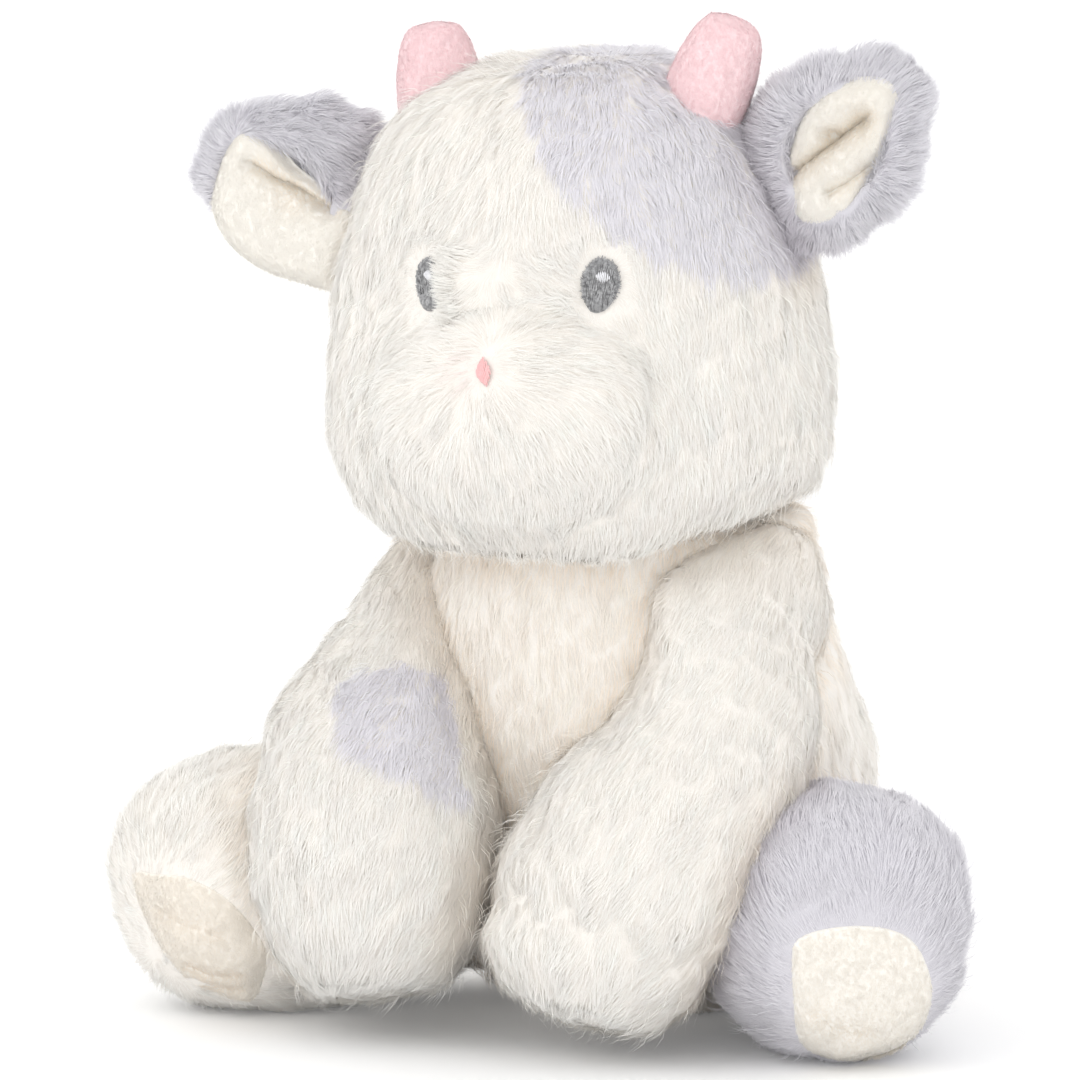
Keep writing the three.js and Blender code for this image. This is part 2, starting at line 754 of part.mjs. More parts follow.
function legGroup(side) {
  const cover = legForm(side, 0)
    .subtract(legForm(side, COVER))
    .subtract(rootHole(HIP[side], LEG.hole));
  const plush = side === "left" ? GREY_PLUSH : CREAM_PLUSH;
  return groupAt(HIP[side], [
    [`leg_${side}_cover`, cover.subtract(solePlug(side, GAP)), plush],
    [`leg_${side}_sole`, cover.intersect(solePlug(side, 0)), PALE_PLUSH],
    [`leg_${side}_stuffing`, legForm(side, COVER + GAP), FILLING],
  ]);
}

// Tail

const rump = TORSO_STATIONS[1];
const tailPivot = V(0, rump.at.y + rump.deep - TAIL.sunk, rump.at.z);
function tailRoot(more) {
  return ball(tailPivot, TAIL.root + more, UPRIGHT);
}

function tailGroup() {
  const place = (share) =>
    tailPivot.clone().add(V(0, TAIL.back * share, -TAIL.drop * share * share));
  const tube = TAIL_SHARES.map((share) => ({ at: place(share), wide: TAIL.wide, deep: TAIL.wide }));
  const tuft = TUFT_SHARES.map(({ along, back, wide, deep }) => ({
    at: place(1).add(V(0, TAIL.tuftBack * back, -TAIL.tuftLong * along)),
    wide: TAIL.tuft * wide,
    deep: TAIL.tuft * deep,
  }));
  const cover = stuffed(TAIL, tube).subtract(torsoForm(-TAIL.clear)).add(tailRoot(0));
  const tuftForm = stuffed(TAIL, tuft).intersect(above(0));
  return groupAt(tailPivot, [
    ["tail_cover", cover.subtract(stuffed(TAIL, tuft, -GAP)), CREAM_PLUSH],
    ["tail_tuft", tuftForm, GREY_PLUSH],
  ]);
}

// The calf

const calf = groupAt(V(0, 0, 0), torsoPieces());
const head = headPieces();
calf.add(head, earPieces("left"), earPieces("right"));
for (const side of ["left", "right"]) {
  calf.add(armGroup(side), legGroup(side));
}
calf.add(tailGroup());
for (let index = 0; index < BALL.count; index++) {
  calf.add(rattleBall(index));
}

export default calf;
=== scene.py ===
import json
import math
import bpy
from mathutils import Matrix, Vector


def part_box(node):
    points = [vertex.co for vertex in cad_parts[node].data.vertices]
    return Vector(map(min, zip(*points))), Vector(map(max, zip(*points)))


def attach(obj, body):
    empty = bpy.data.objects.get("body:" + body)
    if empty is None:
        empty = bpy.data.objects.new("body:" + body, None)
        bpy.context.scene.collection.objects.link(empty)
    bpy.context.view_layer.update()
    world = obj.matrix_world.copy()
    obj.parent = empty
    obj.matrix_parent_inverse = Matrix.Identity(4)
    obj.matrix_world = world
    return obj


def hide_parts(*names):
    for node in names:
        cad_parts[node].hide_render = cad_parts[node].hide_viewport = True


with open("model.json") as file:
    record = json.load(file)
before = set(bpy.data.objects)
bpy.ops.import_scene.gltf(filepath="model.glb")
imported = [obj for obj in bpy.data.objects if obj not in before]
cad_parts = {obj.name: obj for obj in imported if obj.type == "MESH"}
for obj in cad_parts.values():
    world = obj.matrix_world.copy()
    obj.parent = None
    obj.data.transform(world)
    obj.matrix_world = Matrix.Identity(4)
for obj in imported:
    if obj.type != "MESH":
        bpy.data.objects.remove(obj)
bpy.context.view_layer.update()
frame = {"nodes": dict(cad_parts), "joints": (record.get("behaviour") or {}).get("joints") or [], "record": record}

# The looks of the seated plush calf: furred skins over the CAD forms, short velour on the horns,
# ear linings and soles, and embroidered eyes and nose. Everything is in metres, in the CAD frame,
# but lengths that a person would measure on the toy are written in mm and multiplied by MM.

from copy import copy
from dataclasses import dataclass

import bmesh
import bpy
import numpy as np
from mathutils import Vector
from mathutils.bvhtree import BVHTree

MM = 0.001
BODY_NODES = frame["record"]["behaviour"]["bodies"]

# The photograph's line of sight, and its 1080 pixels: mm to a pixel, and the pixel of the origin.
# IN_FRONT is a y in mm that is well in front of the calf.
AZIMUTH, ELEVATION = 22.5, 10.0
PIXEL = 0.215
ORIGIN_PIXEL = (639.0, 1002.0)
LENS, DISTANCE = 600.0, 3.87
AIM = Vector((-12.2, -26.2, 104.3)) * MM
IN_FRONT = -200.0

(COS_A, SIN_A), (COS_E, SIN_E) = (
    (math.cos(math.radians(turn)), math.sin(math.radians(turn))) for turn in (AZIMUTH, ELEVATION)
)
TO_RIGHT = np.array([COS_A, SIN_A, 0.0])
TO_TOP = np.array([-SIN_A * SIN_E, COS_A * SIN_E, COS_E])
TO_CAMERA = np.array([SIN_A * COS_E, -COS_A * COS_E, SIN_E])

UP = np.array([0.0, 0.0, 1.0])
FORWARD = np.array([0.0, -1.0, 0.0])
SIDES = ("left", "right")


# Piles and their colours, in linear light

@dataclass
class Pile:
    """One kind of pile: the length and width of a strand and the size of a clump in mm, how upright
    each half of a strand is, how far clumps draw together, how far strands turn from the comb, and
    the share of strays, which stand up."""
    length: float
    width: float
    rise: tuple
    clump: float
    pull: float
    wild: float
    stray: float


@dataclass
class Tones:
    """A pile's colour at the root and at the tip, and the painted shade that it takes deep in a crevice or fold.
    """
    root: tuple
    tip: tuple
    deep: tuple


LONG = Pile(7.2, width=0.12, rise=(0.16, -0.05), clump=3.4, pull=0.2, wild=0.14, stray=0.03)
BRIDGE_PILE = Pile(3.4, width=0.16, rise=(0.85, 0.6), clump=3.0, pull=0.3, wild=0.12, stray=0.0)
EAR_PILE = Pile(6.4, width=0.13, rise=(0.3, -0.02), clump=3.0, pull=0.3, wild=0.16, stray=0.35)
VELVET = Pile(1.3, width=0.1, rise=(0.2, -0.05), clump=1.4, pull=0.1, wild=0.4, stray=0.04)
STRAY_RISE = (0.5, 0.34)

# The third tone of each is painted shade: a darker, warmer colour laid on strands near other skins and in folds
CREAM = Tones((0.98, 0.94, 0.885), (0.98, 0.965, 0.935), (0.98, 0.885, 0.78))
BODY_CREAM = Tones(CREAM.root, CREAM.tip, (0.98, 0.84, 0.69))
GREY = Tones((0.72, 0.705, 0.75), (0.85, 0.838, 0.87), (0.66, 0.62, 0.67))
PATCH_GREY = Tones((0.82, 0.805, 0.85), (0.93, 0.915, 0.945), (0.74, 0.7, 0.75))
PALE = Tones((0.96, 0.91, 0.83), (0.97, 0.94, 0.88), (0.96, 0.84, 0.68))
SOLE = Tones((0.93, 0.87, 0.78), (0.94, 0.9, 0.83), (0.93, 0.8, 0.62))
PEACH = Tones((0.95, 0.87, 0.76), (0.97, 0.92, 0.84), (0.94, 0.78, 0.6))
PINK = Tones((0.96, 0.64, 0.67), (0.97, 0.76, 0.775), (0.95, 0.55, 0.58))
BLUSH = (0.97, 0.8, 0.79)
EYE_DARK, EYE_LIGHT = (0.19, 0.19, 0.195), (0.56, 0.56, 0.57)
EYE_RIM_DARK, EYE_RIM_LIGHT = (0.18, 0.18, 0.185), (0.52, 0.52, 0.53)
GLINT_WHITE = (0.93, 0.93, 0.96)
NOSE_PINK = (0.97, 0.58, 0.58)
FIBRE_WHITE = (0.93, 0.93, 0.92)
POUCH_GREY = (0.84, 0.84, 0.82)
CASE_BLUE = (0.8, 0.86, 0.89)
BALL_BLUE = (0.35, 0.55, 0.68)

# The skins, in mm: how far they stand off the solids, and their lumps as sizes and heights
UNDERCOAT = 2.0
EAR_UNDERCOAT = 0.9
LUMPS = ((10.0, 0.35), (5.0, 0.2))
FLOOR_CLEAR = 0.3

# How near another skin the painted crevice shade starts, how deep in one fur still grows, how far off
# one counts, and how far outside itself each skin looks for them
PAINTED_SHADE_REACH = 13.0
BURIED = 14.0
FAR_AWAY = 40.0
LOOK_OUT = 2.0

# Strands of each piece of fur, and the first number that its random draws start from
STRANDS = {
    "torso": 66000, "head": 124000, "bridge": 850, "arm_left": 54000, "arm_right": 62000,
    "leg_left": 58000, "leg_right": 52000, "sole": 18000, "ear": 36000, "lining": 24000,
    "horn": 22000, "tail": 14000,
}
SEEDS = {
    "torso": 11, "head": 21, "arm_left": 30, "arm_right": 35, "leg_left": 40, "leg_right": 45,
    "horn_left": 70, "horn_right": 72, "ear_left": 80, "ear_right": 86, "tail": 90,
}


# Materials

def new_material(name):
    material = bpy.data.materials.new(name)
    material.use_nodes = True
    tree = material.node_tree
    return material, tree, tree.nodes["Principled BSDF"]


@dataclass
class Finish:
    """How a surface takes the light, and its relief: its scale, its strength and its depth in mm."""
    roughness: float
    sheen: float
    specular: float
    grain: float = 0.0
    bump: float = 0.0
    deep: float = 0.0


def set_finish(shader, finish):
    shader.inputs["Roughness"].default_value = finish.roughness
    shader.inputs["Sheen Weight"].default_value = finish.sheen
    shader.inputs["Sheen Roughness"].default_value = 0.5
    shader.inputs["Specular IOR Level"].default_value = finish.specular


def noise_node(tree, scale, detail):
    place = tree.nodes.new("ShaderNodeTexCoord")
    noise = tree.nodes.new("ShaderNodeTexNoise")
    noise.inputs["Scale"].default_value = scale
    noise.inputs["Detail"].default_value = detail
    tree.links.new(place.outputs["Object"], noise.inputs["Vector"])
    return noise


def two_tone(tree, noise, low, high):
    """A colour that drifts between two tones with the noise."""
    ramp = tree.nodes.new("ShaderNodeValToRGB")
    for stop, place, tone in zip(ramp.color_ramp.elements, (0.3, 0.7), (low, high)):
        stop.position = place
        stop.color = (*tone, 1)
    tree.links.new(noise.outputs["Fac"], ramp.inputs["Fac"])
    return ramp.outputs["Color"]


def pile_material(name, sheen):
    """Strands of fur or velour, coloured along their length by the tint that is kept in the mesh."""
    material, tree, shader = new_material(name)
    tint = tree.nodes.new("ShaderNodeVertexColor")
    tint.layer_name = "tint"
    tree.links.new(tint.outputs["Color"], shader.inputs["Base Color"])
    set_finish(shader, Finish(roughness=0.85, sheen=sheen, specular=0.15))
    return material


def mottled_material(name, low, high, scale, detail, finish):
    """A surface that drifts between two close tones, with a fine relief."""
    material, tree, shader = new_material(name)
    tone = two_tone(tree, noise_node(tree, scale, detail), low, high)
    tree.links.new(tone, shader.inputs["Base Color"])
    set_finish(shader, finish)
    grain = noise_node(tree, finish.grain, detail=2.0)
    bump = tree.nodes.new("ShaderNodeBump")
    bump.inputs["Strength"].default_value = finish.bump
    bump.inputs["Distance"].default_value = finish.deep * MM
    tree.links.new(grain.outputs["Fac"], bump.inputs["Height"])
    tree.links.new(bump.outputs["Normal"], shader.inputs["Normal"])
    return material


def cloth_material(name, low, high, scale, bump=0.3):
    """A knitted backing, a woven cloth or loose fibre."""
    return mottled_material(name, low, high, scale, 5.0, Finish(0.9, 0.3, 0.2, scale * 6, bump, 0.4))


def thread_material(name, low, high):
    """Glossy embroidery thread whose tone varies from stitch to stitch."""
    return mottled_material(name, low, high, 1400, 2.0, Finish(0.5, 0.2, 0.4, 5000, 0.3, 0.1))


def plastic_material(name, colour, roughness):
    """Moulded plastic with a faint grain."""
    finish = Finish(roughness, 0.0, 0.5, 1500, 0.08, 0.2)
    return mottled_material(name, scaled(colour, 0.95), colour, 60, 3.0, finish)


def scaled(colour, share):
    return tuple(c * share for c in colour)


LONG_PILE = pile_material("long_pile", 0.3)
SHORT_PILE = pile_material("short_pile", 0.4)
# Painted shade: the cream and grey backings are 6 to 10 % darker than the roots, as if in the shade of the fur
# over them
BACKINGS = {
    name: cloth_material(f"{name}_backing", scaled(tones.root, 0.9), scaled(tones.root, 0.94), 400)
    for name, tones in (("cream", CREAM), ("grey", GREY))
}
for name, tones in (("pale", PALE), ("peach", PEACH), ("pink", PINK)):
    BACKINGS[name] = cloth_material(f"{name}_backing", scaled(tones.tip, 0.97), tones.tip, 500)
FILLING = cloth_material("fibre_filling", scaled(FIBRE_WHITE, 0.9), FIBRE_WHITE, 250, 0.6)
POUCH_CLOTH = cloth_material("pouch_cloth", scaled(POUCH_GREY, 0.93), POUCH_GREY, 900, 0.4)
EYE_THREAD = thread_material("grey_thread", EYE_DARK, EYE_LIGHT)
EYE_RIM_THREAD = thread_material("pale_grey_thread", EYE_RIM_DARK, EYE_RIM_LIGHT)
GLINT_THREAD = thread_material("white_thread", scaled(GLINT_WHITE, 0.95), GLINT_WHITE)
NOSE_THREAD = thread_material("pink_thread", scaled(NOSE_PINK, 0.93), NOSE_PINK)
CASE_PLASTIC = plastic_material("case_plastic", CASE_BLUE, 0.4)
BALL_PLASTIC = plastic_material("ball_plastic", BALL_BLUE, 0.3)


# Meshes as arrays

def read_rows(rows, what, kind=float):
    """An array with the three numbers that each row of a mesh's list holds."""
    out = np.zeros(len(rows) * 3, dtype=kind)
    rows.foreach_get(what, out)
    return out.reshape(-1, 3)


def points_of(mesh):
    return read_rows(mesh.vertices, "co")


def normals_of(mesh):
    return read_rows(mesh.vertex_normals, "vector")


def triangles_of(mesh):
    mesh.calc_loop_triangles()
    return read_rows(mesh.loop_triangles, "vertices", np.int64)


def set_points(mesh, points):
    mesh.vertices.foreach_set("co", points.astype(np.float32).ravel())
    mesh.update()


def push_out(mesh, height):
    """Moves each vertex along its normal by its height in mm."""
    set_points(mesh, points_of(mesh) + normals_of(mesh) * height[:, None] * MM)


def middle_of(node):
    low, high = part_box(node)
    return np.array((low + high) / 2)


def unit(vectors):
    return vectors / np.maximum(np.linalg.norm(vectors, axis=-1, keepdims=True), 1e-12)


def flat_on(vectors, normals):
    """The part of each vector that lies in the surface."""
    return vectors - normals * np.sum(vectors * normals, axis=-1, keepdims=True)


def tree_of(mesh):
    return BVHTree.FromPolygons(points_of(mesh).tolist(), triangles_of(mesh).tolist())


def new_object(name, data):
    obj = bpy.data.objects.new(name, data)
    bpy.context.scene.collection.objects.link(obj)
    return obj


def add_object(name, mesh, material):
    obj = new_object(name, mesh)
    mesh.materials.clear()
    mesh.materials.append(material)
    return obj


def settle(obj, material):
    """Puts what the modifiers make in place of the object's own mesh."""
    graph = bpy.context.evaluated_depsgraph_get()
    made = bpy.data.meshes.new_from_object(obj.evaluated_get(graph))
    obj.modifiers.clear()
    obj.data = made
    made.materials.clear()
    made.materials.append(material)
    made.polygons.foreach_set("use_smooth", [True] * len(made.polygons))


def dress(body, piece, slot, *replaced, fill=None):
    """Fixes a piece to its body and hides the CAD parts that it replaces."""
    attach(piece, body)
    if replaced:
        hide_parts(*replaced)


def distance_to(tree, points):
    """Each point's distance from a closed surface, below 0 inside it, and at most FAR_AWAY."""
    out = np.full(len(points), FAR_AWAY * MM)
    for i, point in enumerate(points.tolist()):
        at, normal, _, far = tree.find_nearest(point, FAR_AWAY * MM)
        if at is not None:
            inside = (Vector(point) - at).dot(normal) < 0
            out[i] = -far if inside else far
    return out


def wave_noise(points, size, seed):
    """A smooth pattern from about -1 to 1 with features of about size mm."""
    random = np.random.default_rng(seed)
    total = np.zeros(len(points))
    for _ in range(6):
        turn = unit(random.normal(size=3)) * random.uniform(0.7, 1.5) * 2 * math.pi / (size * MM)
        total += np.sin(points @ turn + random.uniform(0, 2 * math.pi))
    return total / 3.2


def smoothstep(values, low, high):
    share = np.clip((values - low) / (high - low), 0, 1)
    return share * share * (3 - 2 * share)


# From the photograph's pixels to the object and back

def pixels_of(points):
    across = points @ TO_RIGHT / MM / PIXEL + ORIGIN_PIXEL[0]
    down = ORIGIN_PIXEL[1] - points @ TO_TOP / MM / PIXEL
    return np.stack([across, down], axis=-1)


def on_depth(pixels, depth):
    """The points that show at these pixels and have this y, in mm."""
    right = (pixels[..., 0] - ORIGIN_PIXEL[0]) * PIXEL
    top = (ORIGIN_PIXEL[1] - pixels[..., 1]) * PIXEL
    x = (right - SIN_A * depth) / COS_A
    z = (top - TO_TOP[0] * x - TO_TOP[1] * depth) / TO_TOP[2]
    return np.stack([x, depth + 0 * x, z], axis=-1) * MM


MISSED_BY = 100.0


def cast(tree, starts, direction):
    """Where lines from these starts first meet a surface, with its normal there. A line that misses
    takes the place that is nearest to it."""
    at, normal = np.zeros_like(starts), np.zeros_like(starts)
    flat_at, flat_normal = at.reshape(-1, 3), normal.reshape(-1, 3)
    for i, start in enumerate(starts.reshape(-1, 3)):
        hit, facing, _, _ = tree.ray_cast(Vector(start), Vector(direction))
        if hit is None:
            hit, facing, _, _ = tree.find_nearest(Vector(start + direction * MISSED_BY * MM))
        flat_at[i], flat_normal[i] = hit, facing
    return at, normal


class Outline:
    """A rounded closed outline in the photograph's pixels, as a radius for each direction from
    its middle."""

    def __init__(self, corners, middle=None):
        corners = np.array(corners, float)
        self.middle = np.array(middle if middle else corners.mean(axis=0), float)
        before, after, next_after = (np.roll(corners, k, axis=0) for k in (1, -1, -2))
        self.edge = np.concatenate(
            [catmull(before, corners, after, next_after, t) for t in np.linspace(0, 1, 24, False)]
        )
        away = self.edge - self.middle
        angle = np.arctan2(away[:, 1], away[:, 0])
        order = np.argsort(angle)
        self.angle, self.far = angle[order], np.linalg.norm(away, axis=1)[order]

    def radius(self, angle):
        return np.interp(angle, self.angle, self.far, period=2 * math.pi)

    def holds(self, pixels, share=1.0):
        away = pixels - self.middle
        far = np.linalg.norm(away, axis=-1)
        return far < self.radius(np.arctan2(away[..., 1], away[..., 0])) * share

    def grid(self, spokes, rings):
        """Pixels on spokes from the middle to the edge."""
        angle = np.linspace(-math.pi, math.pi, spokes, False)
        share = np.linspace(0, 1, rings)[:, None]
        far = self.radius(angle) * share
        return self.middle + np.stack([np.cos(angle) * far, np.sin(angle) * far], axis=-1)

    def depth(self, pixels):
        """How far inside the edge each pixel is, in mm."""
        flat = pixels.reshape(-1, 2)
        far = np.array([np.min(np.linalg.norm(self.edge - p, axis=1)) for p in flat])
        return far.reshape(pixels.shape[:-1]) * PIXEL


def catmull(before, start, end, after, t):
    return 0.5 * (
        2 * start
        + (end - before) * t
        + (2 * before - 5 * start + 4 * end - after) * t ** 2
        + (3 * start - before - 3 * end + after) * t ** 3
    )


def along_line(pixels, line):
    """Each pixel's distance in mm from a line of several points, and its place along it, 0 to 1."""
    line = np.array(line, float)
    lengths = np.linalg.norm(np.diff(line, axis=0), axis=1)
    starts = np.concatenate([[0], np.cumsum(lengths)])
    nearest = np.full(pixels.shape[:-1], 1e9)
    place = np.zeros(pixels.shape[:-1])
    for k, (a, b) in enumerate(zip(line[:-1], line[1:])):
        share = np.clip(((pixels - a) @ (b - a)) / lengths[k] ** 2, 0, 1)
        far = np.linalg.norm(pixels - (a + share[..., None] * (b - a)), axis=-1)
        closer = far < nearest
        nearest = np.where(closer, far, nearest)
        place = np.where(closer, (starts[k] + share * lengths[k]) / starts[-1], place)
    return nearest * PIXEL, place


def fold(pixels, line, deep, wide):
    """The depth in mm of a sewn or pressed fold along a line, fading out at its ends."""
    far, place = along_line(pixels, line)
    fade = smoothstep(place, 0, 0.12) * smoothstep(1 - place, 0, 0.2)
    return deep * np.exp(-far / wide) * fade


# Skins: smooth closed surfaces round the CAD solids, on which the fur grows

ON_THE_HEAD = ("nose", "eye", "horn")


def merged_mesh(names):
    mesh = bpy.data.meshes.new("merged")
    points, faces, first = [], [], 0
    for name in names:
        data = frame["nodes"][name].data
        points.append(points_of(data))
        faces.append(triangles_of(data) + first)
        first += len(data.vertices)
    mesh.from_pydata(np.concatenate(points).tolist(), [], np.concatenate(faces).tolist())
    return mesh


def skin_object(name, nodes, material, voxel, smooth):
    obj = add_object(name, merged_mesh(nodes), material)
    remesh = obj.modifiers.new("remesh", "REMESH")
    remesh.mode = "VOXEL"
    remesh.voxel_size = voxel * MM
    soften = obj.modifiers.new("soften", "SMOOTH")
    soften.factor = 0.5
    soften.iterations = smooth
    settle(obj, material)
    keep_outer_shell(obj.data)
    return obj


def keep_outer_shell(mesh):
    """Deletes the small shells that the remesh leaves in the gaps between nodes."""
    made = bmesh.new()
    made.from_mesh(mesh)
    left, groups = set(made.verts), []
    while left:
        todo, group = [left.pop()], []
        while todo:
            vertex = todo.pop()
            group.append(vertex)
            for edge in vertex.link_edges:
                other = edge.other_vert(vertex)
                if other in left:
                    left.discard(other)
                    todo.append(other)
        groups.append(group)
    groups.sort(key=len)
    for group in groups[:-1]:
        bmesh.ops.delete(made, geom=group, context="VERTS")
    made.to_mesh(mesh)
    made.free()


def nudged(points, nudges):
    """Points moved in the plane of the photograph: each nudge is the pixel that it is centred on,
    its move in pixels and its radius in mm."""
    for centre, move, radius in nudges:
        far = np.linalg.norm(pixels_of(points) - np.array(centre), axis=1) * PIXEL / radius
        shift = (TO_RIGHT * move[0] - TO_TOP * move[1]) * PIXEL * MM
        points = points + np.exp(-far ** 2)[:, None] * shift
    return points


class Skin:
    """A body's skin, with what the fur asks of it at each vertex."""

    def __init__(self, body, backing, voxel=1.5, smooth=14, sculpt=None, coat=UNDERCOAT):
        self.body = body
        soft = [node for node in BODY_NODES[body] if not node.startswith(ON_THE_HEAD)]
        self.obj = skin_object(f"{body}_skin", soft, BACKINGS[backing], voxel, smooth)
        mesh = self.obj.data
        push_out(mesh, coat + sum(wave_noise(points_of(mesh), size, 7) * high for size, high in LUMPS))
        if sculpt:
            sculpt(mesh)
        points = points_of(mesh)
        points[:, 2] = np.maximum(points[:, 2], FLOOR_CLEAR * MM)
        set_points(mesh, points)
        self.points, self.normals = points_of(mesh), normals_of(mesh)
        self.triangles = triangles_of(mesh)
        self.tree = tree_of(mesh)
        self.room = np.full(len(self.points), FAR_AWAY * MM)

    def look_round(self, others):
        """Notes how far each vertex is from the other skins, for the painted crevice shade and to find what is
        buried.
        """
        just_outside = self.points + self.normals * LOOK_OUT * MM
        for other in others:
            self.room = np.minimum(self.room, distance_to(other.tree, just_outside))


class Roots:
    """Where strands grow: points spread by area over a mesh where share is above 0."""

    def __init__(self, points, normals, triangles, count, seed, share=None):
        random = np.random.default_rng(seed)
        a, b, c = (points[triangles[:, i]] for i in range(3))
        weight = np.linalg.norm(np.cross(b - a, c - a), axis=1)
        if share is not None:
            weight = weight * share[triangles].mean(axis=1)
        chosen = random.choice(len(triangles), size=count, p=weight / weight.sum())
        u, v = random.random(count), random.random(count)
        u, v = np.where(u + v > 1, 1 - u, u), np.where(u + v > 1, 1 - v, v)
        self.corners = triangles[chosen]
        self.weights = np.stack([1 - u - v, u, v], axis=1)
        self.at = self.value(points)
        self.normal = unit(self.value(normals))

    def value(self, at_vertices):
        """A value known at the vertices, at the roots."""
        weights = self.weights if at_vertices.ndim == 1 else self.weights[..., None]
        return (at_vertices[self.corners] * weights).sum(axis=1)

    def only(self, which):
        part = copy(self)
        part.corners, part.weights = self.corners[which], self.weights[which]
        part.at, part.normal = self.at[which], self.normal[which]
        return part


class Coat:
    """The fur of a skin, where it shows at some pose. At each root it holds the comb, the length in
    mm and how deep in a crevice the strand is, 0 to 1: the share of painted shade in its colour."""

    def __init__(self, skin, count, seed, bare=None, length=None):
        share = (skin.room > -BURIED * MM).astype(float)
        if bare is not None:
            share = share * ~bare
        self.seed = seed
        self.roots = Roots(skin.points, skin.normals, skin.triangles, count, seed, share)
        self.at, self.normal = self.roots.at, self.roots.normal
        # Painted shade: the nearer another skin, the more of the deep tone
        self.deep = np.clip(1 - np.abs(self.roots.value(skin.room)) / (PAINTED_SHADE_REACH * MM), 0, 1)
        self.length = np.full(count, length or LONG.length)
        self.comb = np.tile(-UP, (count, 1))

    def grow(self, name, tones, which=None, number=1, **more):
        """One piece of fur, from the roots where which holds."""
        which = np.arange(len(self.at)) if which is None else which
        return fur(name, self.roots.only(which), self.comb[which], tones, self.seed + number,
                   length=self.length[which], deep=self.deep[which], **more)


def nearer_second(first, second, skin, roots):
    """Which roots are on the second CAD node rather than the first, with an uneven border."""
    first_far, second_far = (
        roots.value(np.abs(distance_to(tree_of(frame["nodes"][name].data), skin.points)))
        for name in (first, second)
    )
    return first_far > second_far + wave_noise(roots.at, 5, 3) * 0.4 * MM


# Fur

# How strands of any pile vary: the size in mm and strength of the swirls that they follow, how much
# clumps and strands differ in length, how each half wobbles, how far along a strand it bends, how
# far ribbons turn about their length, how they differ in width, and how in shade
SWIRL_SIZE, SWIRL = 22, 0.2
CLUMP_LENGTHS, STRAND_LENGTHS = (0.88, 1.1), (0.75, 1.08)
FIRST_WOBBLE, LAST_WOBBLE = 0.05, 0.06
BEND = 0.45
ROOT_DEPTH = 0.3
STRAY_TURN, LAID_TURN = 0.7, 0.12
WIDTHS, STRAY_WIDTH = (0.7, 1.3), 0.7
STRAND_SHADE, CLUMP_SHADE = 0.012, 0.01


CELL_PRIMES = np.array([73856093, 19349663, 83492791])


def clumps_of(points, size, seed):
    """The number of the clump that each point is in. Clumps are warped cells of about size mm."""
    warp = np.stack([wave_noise(points, size * 2.7, seed + k) for k in range(3)], 1) * size * 0.6 * MM
    cells = np.floor((points + warp) / (size * MM)).astype(np.int64)
    keys = np.bitwise_xor.reduce(cells * CELL_PRIMES, axis=1)
    return np.unique(keys, return_inverse=True)[1].ravel()


def in_pairs(which):
    """The numbers of the roots where which holds, each twice: on a patch the strands grow in pairs,
    so that the backing of another colour doesn't show."""
    return np.repeat(np.flatnonzero(which), 2)


def clump_means(values, clump):
    count = np.bincount(clump).astype(float)
    means = np.stack([np.bincount(clump, values[:, k]) / count for k in range(3)], 1)
    return means[clump]


def strand_paths(roots, comb, length, pile, seed):
    """The root, middle and tip of each strand, its direction at the tip, its clump, and whether
    it stands up."""
    random = np.random.default_rng(seed)
    at, normal, count = roots.at, roots.normal, len(roots.at)
    clump = clumps_of(at, pile.clump, seed)
    total = clump.max() + 1
    swirl = np.stack([wave_noise(at, SWIRL_SIZE, seed + 20 + k) for k in range(3)], 1) * SWIRL
    along = unit(flat_on(comb, normal)) + swirl + random.normal(size=(total, 3))[clump] * pile.wild
    along = unit(flat_on(along + random.normal(size=(count, 3)) * pile.wild, normal))
    long = (np.ones(count) * length * MM)[:, None]
    long = long * random.uniform(*CLUMP_LENGTHS, total)[clump][:, None]
    long = long * random.uniform(*STRAND_LENGTHS, (count, 1))
    stray = random.random((count, 1)) < pile.stray
    low_rise, high_rise = (np.where(stray, up, rise) for up, rise in zip(STRAY_RISE, pile.rise))
    first, last = (
        unit(normal * rise + along * (1 - rise) + random.normal(size=(count, 3)) * wobble)
        for rise, wobble in ((low_rise, FIRST_WOBBLE), (high_rise, LAST_WOBBLE))
    )
    root = at - normal * ROOT_DEPTH * MM
    middle = at + first * long * BEND
    tip = middle + last * long * (1 - BEND)
    pull = pile.pull * random.uniform(0.4, 1.0, (count, 1))
    tip = tip + (clump_means(tip, clump) - tip) * pull
    middle = middle + (clump_means(middle, clump) - middle) * pull * 0.3
    floor = FLOOR_CLEAR * MM * random.uniform(1, 3, count)
    for part in (root, middle, tip):
        part[:, 2] = np.maximum(part[:, 2], floor)
    return root, middle, tip, last, clump, stray


